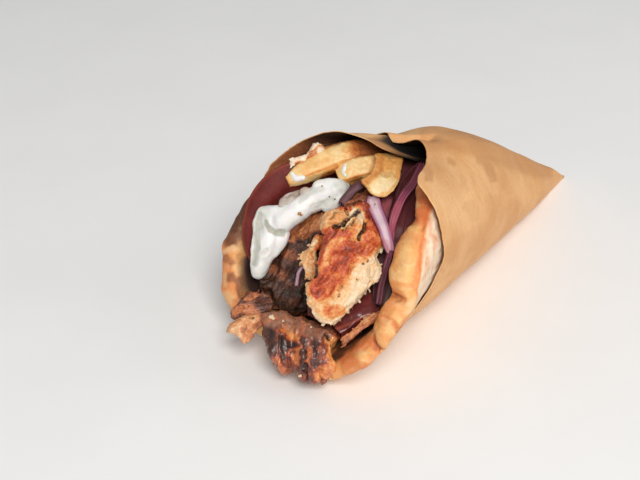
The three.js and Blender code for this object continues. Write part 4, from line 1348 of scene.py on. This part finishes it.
# %% Front slices
FRONT_TONES = [
    (14, 1.0, 0.42, [(266, 322), (285, 319), (306, 326)]), (7, 0.8, 0.5, [(318, 332), (332, 330)]),
    (9, 0.9, 0.2, [(288, 330), (296, 342), (297, 358)]), (6, 0.8, 0.1, [(289, 331), (290, 336)]),
    (8, 0.9, 0.9, [(281, 340), (291, 345)]), (12, 0.9, 0.86, [(264, 332), (268, 352), (276, 366)]),
    (10, 0.9, 0.04, [(331, 342), (333, 360)]), (11, 0.9, 0.14, [(318, 374), (333, 372)]),
    (9, 0.8, 0.2, [(276, 362), (284, 374), (292, 381)]), (10, 0.8, 0.6, [(314, 334), (318, 352)]),
    (6, 0.8, 0.25, [(306, 347), (310, 362)]), (7, 0.7, 0.8, [(298, 368), (312, 374)]),
    (4.5, 0.9, 0.98, [(283, 336), (284, 357)]), (4.5, 0.8, 0.92, [(303, 338), (302, 366)]),
    (5, 0.8, 0.9, [(315, 344), (314, 364)]), (4, 0.7, 0.72, [(322, 334), (325, 352)]),
]
FRONT_CRACKS = [
    (3.0, 0.8, [(304, 352), (305, 362), (306, 380)]), (4.5, 0.9, [(326.5, 336), (329, 338)]),
    (2.8, 0.6, [(289, 352), (290, 366), (287, 377)]), (2.6, 0.6, [(320, 366), (322, 380)]),
    (2.6, 0.5, [(281, 335), (280, 350), (283, 362)]), (2.2, 0.5, [(298, 330), (299, 344)]),
    (2.4, 0.5, [(313, 338), (314, 356)]),
]
FRONT_FAT = [(12, 0.75, [(270, 318), (288, 320), (308, 328)]), (9, 0.6, [(318, 332), (330, 331)])]
FILLING = [  # balls that close the gap between the two slices
    [(301, 324, 3.4, 0.0), (304, 333, 3.8, 0.3), (304, 342, 3.6, 0.2), (305, 352, 2.8, -0.6)],
]
joined = fused(strung(pressed_back(copied("meat_front"), (292, 387), (261, 338)),
                      solid("meat_front"), FILLING), 0.6, 7)
meat("front_slices", "meat_front", glazed_roast, (-0.5, -0.3, -0.8), 11,
     toned(0.6, FRONT_TONES, 5.0), shreds=240, size=(0.6, 1.3), crag=0.95, voxel=0.38,
     cracks=FRONT_CRACKS, relax=1, torn=lambda p, n: 0.4 + 3 * smooth(seen(p)[1], 354, 368),
     outwards=0.3, fat=FRONT_FAT, start=joined)

# %% Flakes and strips
LOW_FLAKE = [(225.7, 331), (230, 324), (236, 320), (242, 317), (248, 314), (256, 313.5),
             (263, 312.5), (266.5, 315), (264, 323), (258, 328), (254, 334), (250.5, 340),
             (244, 343.5), (238, 336), (232, 334)]
HIGH_FLAKE = [(231, 314), (236, 306), (241, 299.5), (246, 295), (251, 292.5), (257, 291.5),
              (263, 293), (269, 295), (274, 304), (270, 312), (258, 316), (247, 316),
              (240, 319), (233, 319)]
meat("low_flake", "flake_low", tan_roast, (0.6, -0.6, 0.2), 2,
     toned(0.5, [(12, 0.9, 0.36, [(236, 330), (250, 322)]),
                 (8, 0.9, 0.72, [(264, 316), (259, 332)]),
                 (5, 0.7, 0.66, [(244, 330), (250, 336)])]),
     shreds=60, size=(0.4, 0.9), crag=0.7, voxel=0.32, outwards=0.3,
     start=cut_out("flake_low", LOW_FLAKE, 4.0, 0.4, 2))
meat("high_flake", "flake_high", tan_roast, (0.6, -0.6, 0.2), 8,
     toned(0.9, [(6, 0.9, 0.62, [(236, 311), (246, 308), (256, 312)]),
                 (7, 0.9, 0.96, [(266, 300), (264, 310)]),
                 (5, 0.7, 0.5, [(246, 299), (256, 295)])]), shreds=90, size=(0.5, 1.2),
     crag=0.9, voxel=0.34, outwards=0.5, start=cut_out("flake_high", HIGH_FLAKE, 5.0, 0.4, 2))
meat("light_strip", "meat_strip", tan_roast, (0.7, -0.3, 0.5), 3,
     toned(0.66, [(8, 0.9, 0.42, [(345, 335), (352, 326), (362, 320)]),
                  (5, 0.8, 0.3, [(366, 317), (374, 311)])]),
     shreds=90, size=(0.5, 1.2), crag=0.8, voxel=0.3)
meat("pale_sliver", "meat_sliver", tan_roast, (0.7, -0.3, 0.4), 4,
     toned(0.08, [(3.5, 0.9, 0.6, [(299, 165), (312, 155), (319, 147)]),
                  (4, 0.9, 0.5, [(322, 143), (327, 148)])]),
     shreds=50, size=(0.5, 1.0), crag=0.4, voxel=0.28)

# %% The meat farther in
meat("back_slice", "meat_back", tan_roast, (-0.6, -0.5, -0.4), 5, toned(0.84, []), shreds=50)
# The near-black strokes beside the big slice and at the lower end are painted shadow.
meat("shaded_slice", "meat_dark", shaded_roast, (-0.5, 0.1, -0.8), 12,
     toned(0.74, [(14, 0.95, 0.08, [(299, 224), (318, 221)]),
                  (9, 0.9, 0.16, [(292, 235), (304, 233)]),
                  (8, 0.8, 0.35, [(284, 250), (294, 258)]),
                  (7, 0.7, 0.35, [(270, 268), (282, 276)]),
                  (9, 0.9, 0.95, [(318, 240), (312, 262)]),
                  (9, 0.8, 0.9, [(304, 295), (312, 305)])]),
     shreds=220, size=(0.8, 1.7), crag=1.35, voxel=0.42)
meat("packed_meat", "meat_core", shaded_roast, (-0.5, 0.1, -0.8), 13, toned(0.75, []),
     shreds=260, size=(1.6, 3.0), voxel=0.9, torn=lambda p, n: smooth(n.dot(back), 0.1, 0.6))

# %% [markdown]
# ## Tomato
# Two slices of tomato line the wrap. A slice is a thin disc with a rounded skin edge, wet and
# red, with a paler line where the skin is cut; on the front slice that line is painted highlight.
# Both are darkened to maroon as painted shade. A rounded profile is spun into a disc, and
# the left slice is bent on to the inside of the cone. The front one is hidden but for its rim.

# %% Tomato finishes
def tomato_finish(name, coat):
    """Flesh with veins in red darkened to maroon as painted shade, and as wet as its coat."""
    finish = Finish(name, Specular_IOR_Level=0.2, Subsurface_Weight=0.1, Subsurface_Scale=0.002,
                    Coat_Weight=coat, Coat_Roughness=0.16)
    flesh = finish.cloud(6.0, detail=4, rough=0.6)
    veins = finish.cloud(1.6, detail=3, rough=0.6, stretch=(1, 1, 3))
    # Dark maroon reds: the tomato's red darkened as painted shade.
    red = finish.shades(flesh, (0.3, srgb(82, 26, 26)), (0.55, srgb(102, 34, 31)),
                        (0.78, srgb(118, 46, 40)))
    red = finish.layer(red, srgb(140, 62, 54), finish.band(veins, 0.5, 0.8), 0.3)
    # A paler line along the cut skin edge; on the front slice it is a painted highlight along that
    # edge.
    red = finish.blend(finish.painted("rim"), red, srgb(160, 80, 60))
    finish.bump(flesh, 0.25).bump(veins, 0.08)
    return finish.done(red, finish.math("MULTIPLY_ADD", veins, 0.3, 0.42))


tomato = tomato_finish("tomato", 0.0)
wet_tomato = tomato_finish("wet tomato", 0.6)
print("tomato finishes", tomato.name, "and", wet_tomato.name)

# %% A round slice
SLOPE = 7.0  # how far in from its edge the slice begins to thin
SLOPE_STEPS = 12
SLICE_RINGS = 34
SLICE_STEPS = 150


def slice_disc(radius, thick):
    """A flat round slice with a rounded edge; the line where the skin is cut is painted."""
    bm = bmesh.new()
    rim = bm.verts.layers.float.new("rim")
    half, flat = thick / 2, radius - SLOPE
    turns = [math.pi / 2 * i / SLOPE_STEPS for i in range(1, SLOPE_STEPS + 1)]
    line = [(flat * i / SLICE_RINGS, half) for i in range(SLICE_RINGS + 1)]
    line += [(flat + SLOPE * math.sin(turn), half - (thick - 1.0) * (1 - math.cos(turn)))
             for turn in turns]
    line += [(radius - 0.5, -half)]
    line += [(flat * i / SLICE_RINGS, -half) for i in range(SLICE_RINGS, -1, -1)]
    profile = [bm.verts.new((r, 0, h)) for r, h in line]
    for vert in profile:
        vert[rim] = 0.5 * smooth(vert.co.x, radius - 0.35, radius - 0.1)
    spun(bm, profile, SLICE_STEPS)
    bmesh.ops.remove_doubles(bm, verts=bm.verts, dist=0.001)
    bmesh.ops.recalc_face_normals(bm, faces=bm.faces)
    return bm


# %% Left slice
SLICE_SLANT, SLICE_ANGLE = 135.5, 79.0  # where its middle lies on the unrolled cone
bm = slice_disc(42.0, 4.4)
for vert in bm.verts:
    flat_x, flat_y = SLICE_SLANT + vert.co.x, vert.co.y
    far = math.hypot(flat_x, flat_y)
    angle = SLICE_ANGLE + math.degrees(math.atan2(flat_y, flat_x)) / math.sin(HALF_ANGLE)
    lean = 6 * smooth(far, rim_slant(angle) + 1, rim_slant(angle) + 13)
    wave = 0.5 * grain(Vector((flat_x, flat_y, 0)), 16.0, 3.7)
    vert.co = cone_point(far, angle, -vert.co.z - WALL - 2.6 + lean + wave)
bmesh.ops.recalc_face_normals(bm, faces=bm.faces)
piece("left_tomato", bm, [tomato], "tomato_left", "tomato_left")

# %% Front slice
# A painted highlight along the glossy skin edge of the front slice.
SKIN_EDGE_HIGHLIGHT = [(2.0, 1.0, [(331, 331), (350, 324), (370, 313)])]
front = moved(fused(copied("tomato_front"), 0.45, 4),
              lambda p, n: 0.3 * grain(p, 5.0, 2.2) + 0.12 * grain(p, 2.0, 7.2))
painted_on(front, "rim", lambda p, n: 0.5 * brushed(seen(p), SKIN_EDGE_HIGHLIGHT))
piece("front_tomato", front, [wet_tomato], "tomato_front", "tomato_front")

# %% [markdown]
# ## Onion
# Red onion is cut across its layers, so a strip is a shallow gutter: glassy white or lilac
# inside, purple along both edges, with fine veins along its length. A grid is laid along a
# route, bowed across, and given its thickness; its UV map runs along and across the strip.

# %% Onion finishes
def onion_finish(name, middle, edge, vein, pale_line=0.0):
    """Glassy onion that darkens towards both edges, with veins along the strip."""
    finish = Finish(name, Roughness=0.42, Specular_IOR_Level=0.25, Subsurface_Weight=0.2,
                    Subsurface_Scale=0.002)
    split = finish.nodes.new("ShaderNodeSeparateXYZ")
    finish.feed(split.inputs[0], finish.sheet_place("strip"))
    across = finish.math("ABSOLUTE", finish.math("SUBTRACT", split.outputs[0], 0.5))
    streaks = finish.nodes.new("ShaderNodeTexNoise")
    streaks.inputs["Detail"].default_value = 3
    lengthwise = finish.nodes.new("ShaderNodeMapping")
    lengthwise.inputs["Scale"].default_value = (9, 1.6, 1)
    finish.feed(lengthwise.inputs["Vector"], finish.sheet_place("strip"))
    finish.feed(streaks.inputs["Vector"], lengthwise.outputs["Vector"])
    streaks.inputs["Scale"].default_value = 1.0
    wander = finish.math("MULTIPLY_ADD", streaks.outputs["Fac"], 0.3, across)
    colour = finish.blend(finish.band(wander, 0.3, 0.64), srgb(*middle), srgb(*edge))
    colour = finish.layer(colour, srgb(*vein), finish.band(streaks.outputs["Fac"], 0.5, 0.75), 0.5)
    if pale_line:
        line = finish.math("MULTIPLY", finish.band(across, 0.34, 0.42),
                           finish.band(across, 0.5, 0.44))
        colour = finish.layer(colour, srgb(226, 170, 196), line, pale_line)
    colour = finish.blend(finish.painted("blush"), colour, srgb(176, 92, 100))
    # Painted shade: the darkening strokes where the strips lie deep or under other pieces.
    colour = finish.blend(finish.painted("onion_shade"), colour, srgb(84, 52, 54))
    finish.bump(streaks.outputs["Fac"], 0.15)
    return finish.done(colour)


lilac = onion_finish("lilac onion", (222, 196, 204), (172, 110, 142), (236, 216, 222))
magenta = onion_finish("magenta onion", (150, 70, 96), (112, 44, 66), (186, 112, 134),
                       pale_line=0.45)
purple = onion_finish("purple onion", (92, 38, 42), (60, 26, 28), (120, 60, 62))
plum = onion_finish("plum onion", (120, 70, 84), (84, 42, 54), (150, 100, 112))
print("onion finishes", [made.name for made in (lilac, magenta, purple, plum)])


# %% A strip of onion
def onion(name, node, finish, points, width, thick, face=TO_EYE, bow=0.5, ribs=0, seed=1,
          taper=0.06, blush=(), onion_shade=()):
    """A bowed strip along a route; a strip with ribs shows the steps of several layers."""
    route = Route(points, face)
    bm = bmesh.new()
    bm.loops.layers.uv.new("strip")
    bmesh.ops.create_grid(bm, x_segments=14 + 10 * ribs, y_segments=90, size=0.5, calc_uvs=True)
    for vert in bm.verts:
        across, t = 2 * vert.co.x, vert.co.y + 0.5
        point, side, top = route.at(t)
        wide = width(t) if callable(width) else width
        end = math.sqrt(max(0.0, min(1.0, t / taper, (1 - t) / taper)))
        step = (across * 0.5 + 0.5) * ribs
        ridge = 0.55 * (step - math.floor(step)) if ribs else 0.0
        sway = 0.3 * grain(point, 7.0, seed)
        wave = 0.35 * grain(point + side * across, 3.5, seed + 3)
        vert.co = (point + side * (across * wide / 2 * (0.25 + 0.75 * end) + sway)
                   + top * (bow * (across ** 2 - 0.4) + ridge + wave))
    bm.normal_update()
    bmesh.ops.solidify(bm, geom=bm.faces[:] + bm.edges[:] + bm.verts[:], thickness=thick)
    bmesh.ops.recalc_face_normals(bm, faces=bm.faces)
    painted_on(bm, "blush", lambda p, n: brushed(seen(p), blush, 3.0, seed))
    painted_on(bm, "onion_shade", lambda p, n: brushed(seen(p), onion_shade, 3.0, seed))
    return piece(name, bm, [finish], node, node)


# %% Strips in front
onion("pale_onion", "onion_pale", lilac,
      [(-42.9, -6.0, 58.2), (-45.7, -9.8, 56.6), (-48.9, -14.7, 54.7), (-52.3, -20.0, 52.7),
       (-54.4, -23.9, 49.5), (-55.3, -25.6, 48.1)], lambda t: 5 - 2.6 * t, 1.4, taper=0.1,
      onion_shade=[(5, 0.4, [(368, 197), (376, 197)])], blush=[(6, 0.5, [(386, 243), (391, 251)])])
onion("bright_onion", "onion_bright", magenta,
      [(-18, -10.5, 63), (-23.5, -13.1, 62.4), (-30.9, -15.8, 61.1), (-37.9, -17.1, 59.5),
       (-44.7, -19.3, 57.1), (-48.9, -21.0, 53.6), (-52.6, -23.6, 49.9), (-55.1, -24.9, 45.9),
       (-58.4, -25.7, 41.7), (-62.4, -26.9, 36.3), (-66.4, -28.5, 31.0)],
      lambda t: 2.5 - 1.7 * smooth(t, 0.45, 0.6), 1.0, seed=2,
      onion_shade=[(12, 0.45, [(422, 165), (408, 184)]),
            (9, 0.65, [(391, 262), (384, 284), (378, 305)])],
      blush=[(7, 0.5, [(398, 206), (392, 232)])])
onion("middle_onion", "onion_middle", plum,
      [(-48.6, 4.3, 53.9), (-45.4, 3.5, 56.3), (-42.2, 2.7, 58.2), (-37.9, 1.3, 59.3)],
      2.8, 1.2, seed=3, bow=0.25, onion_shade=[(9, 0.6, [(345, 197), (366, 182)])])
onion("thread_onion", "onion_thread", lilac,
      [(-67.5, 5.5, 37.5), (-72, 6.2, 34), (-74, 5.4, 32.3), (-76, 4.2, 30.6)], 1.1, 0.7,
      bow=0.1, seed=4, onion_shade=[(9, 0.5, [(304, 262), (298, 282)])])

# %% Layered strips behind them
onion("layered_onion", "onion_layer", purple,
      [(-14, -9, 60), (-30, -14.5, 55), (-41, -20, 49), (-50, -23.5, 41), (-57, -25.5, 34),
        (-63, -27, 27)], 13.0, 1.6, face=(-0.72, -0.42, 0.55), bow=0.8, ribs=4, seed=5,
      taper=0.2, onion_shade=[(16, 0.75, [(395, 252), (388, 280), (380, 304)])])
onion("behind_onion", "onion_behind", purple,
      [(-8, 2, 57), (-20, -4, 56.5), (-32, -9, 53), (-42, -13, 48)], 15.0, 1.7,
      face=(-0.45, -0.4, 0.8), bow=0.8, ribs=4, seed=6,
      blush=[(9, 0.75, [(389, 204), (384, 216), (388, 224)])],
      onion_shade=[(10, 0.5, [(408, 166), (400, 186)])])

# %% [markdown]
# ## Crumbs and herbs
# Crumbs of crust and dried herbs cling to the sauce and the meat. Each is a small ball with a
# jagged skin, pressed flat towards the face it lies on. It is set a little in front of the
# solid, because the sauce and the meat have grown outwards from theirs.

# %% Crumbs and herbs
def crumb_finish(name, size, dark, light, roughness, gloss):
    """Two tones, mixed in spots of so many millimetres."""
    finish = Finish(name, Roughness=roughness, Specular_IOR_Level=gloss)
    spots = finish.cloud(size, detail=3)
    return finish.done(finish.shades(spots, (0.3, srgb(*dark)), (0.7, srgb(*light))))


herbs = crumb_finish("dried herb", 0.4, (70, 66, 34), (128, 116, 70), 0.7, 0.3)
crust_crumb = crumb_finish("crumb of crust", 0.5, (150, 96, 46), (206, 158, 92), 0.55, 0.4)
pale_crumb = crumb_finish("pale crumb", 0.6, (208, 178, 138), (240, 224, 194), 0.5, 0.4)
GROWN = 0.9  # how far the skins stand in front of the solids, in millimetres


def bits(name, node, finish, slot, spots):
    """Small jagged bits at pixels of a solid: (x, y, half width in millimetres)."""
    target = solid(node)
    bm = bmesh.new()
    flat = back.to_track_quat("Z", "Y").to_matrix().to_4x4() @ Matrix.Diagonal((1, 0.8, 0.5, 1))
    for x, y, size in spots:
        middle = place(target, x, y, 0.1 * size - GROWN)
        made = bmesh.ops.create_icosphere(bm, subdivisions=3, radius=size,
                                          matrix=Matrix.Translation(middle) @ flat)
        for vert in made["verts"]:
            vert.co += (vert.co - middle) * 0.9 * grain(vert.co, 0.45 * size, x)
    return piece(name, bm, [finish], slot)


bits("herb_flecks", "tzatziki", herbs, "tzatziki",
     [(329.5, 196.5, 0.3), (335, 199, 0.3), (322, 186, 0.26)])
bits("sauce_crumb", "tzatziki", crust_crumb, "tzatziki", [(299.5, 213.5, 0.75), (301.5, 215, 0.45)])
# The small pale bit at (311, 327) is a painted highlight, a glint on the wet top of the meat.
bits("meat_crumbs", "meat_front", pale_crumb, "meat_front",
     [(271, 317, 0.9), (273.5, 318.5, 0.6), (300, 376, 0.6), (311, 327, 0.35), (283, 321, 0.4)])
bits("green_speck", "flake_low", herbs, "flake_low", [(253, 318, 0.5)])
bits("onion_speck", "onion_pale", crust_crumb, "onion_pale", [(375, 204, 0.4)])

# %% Sizes
low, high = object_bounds()
print("size", [round(v, 4) for v in high - low])
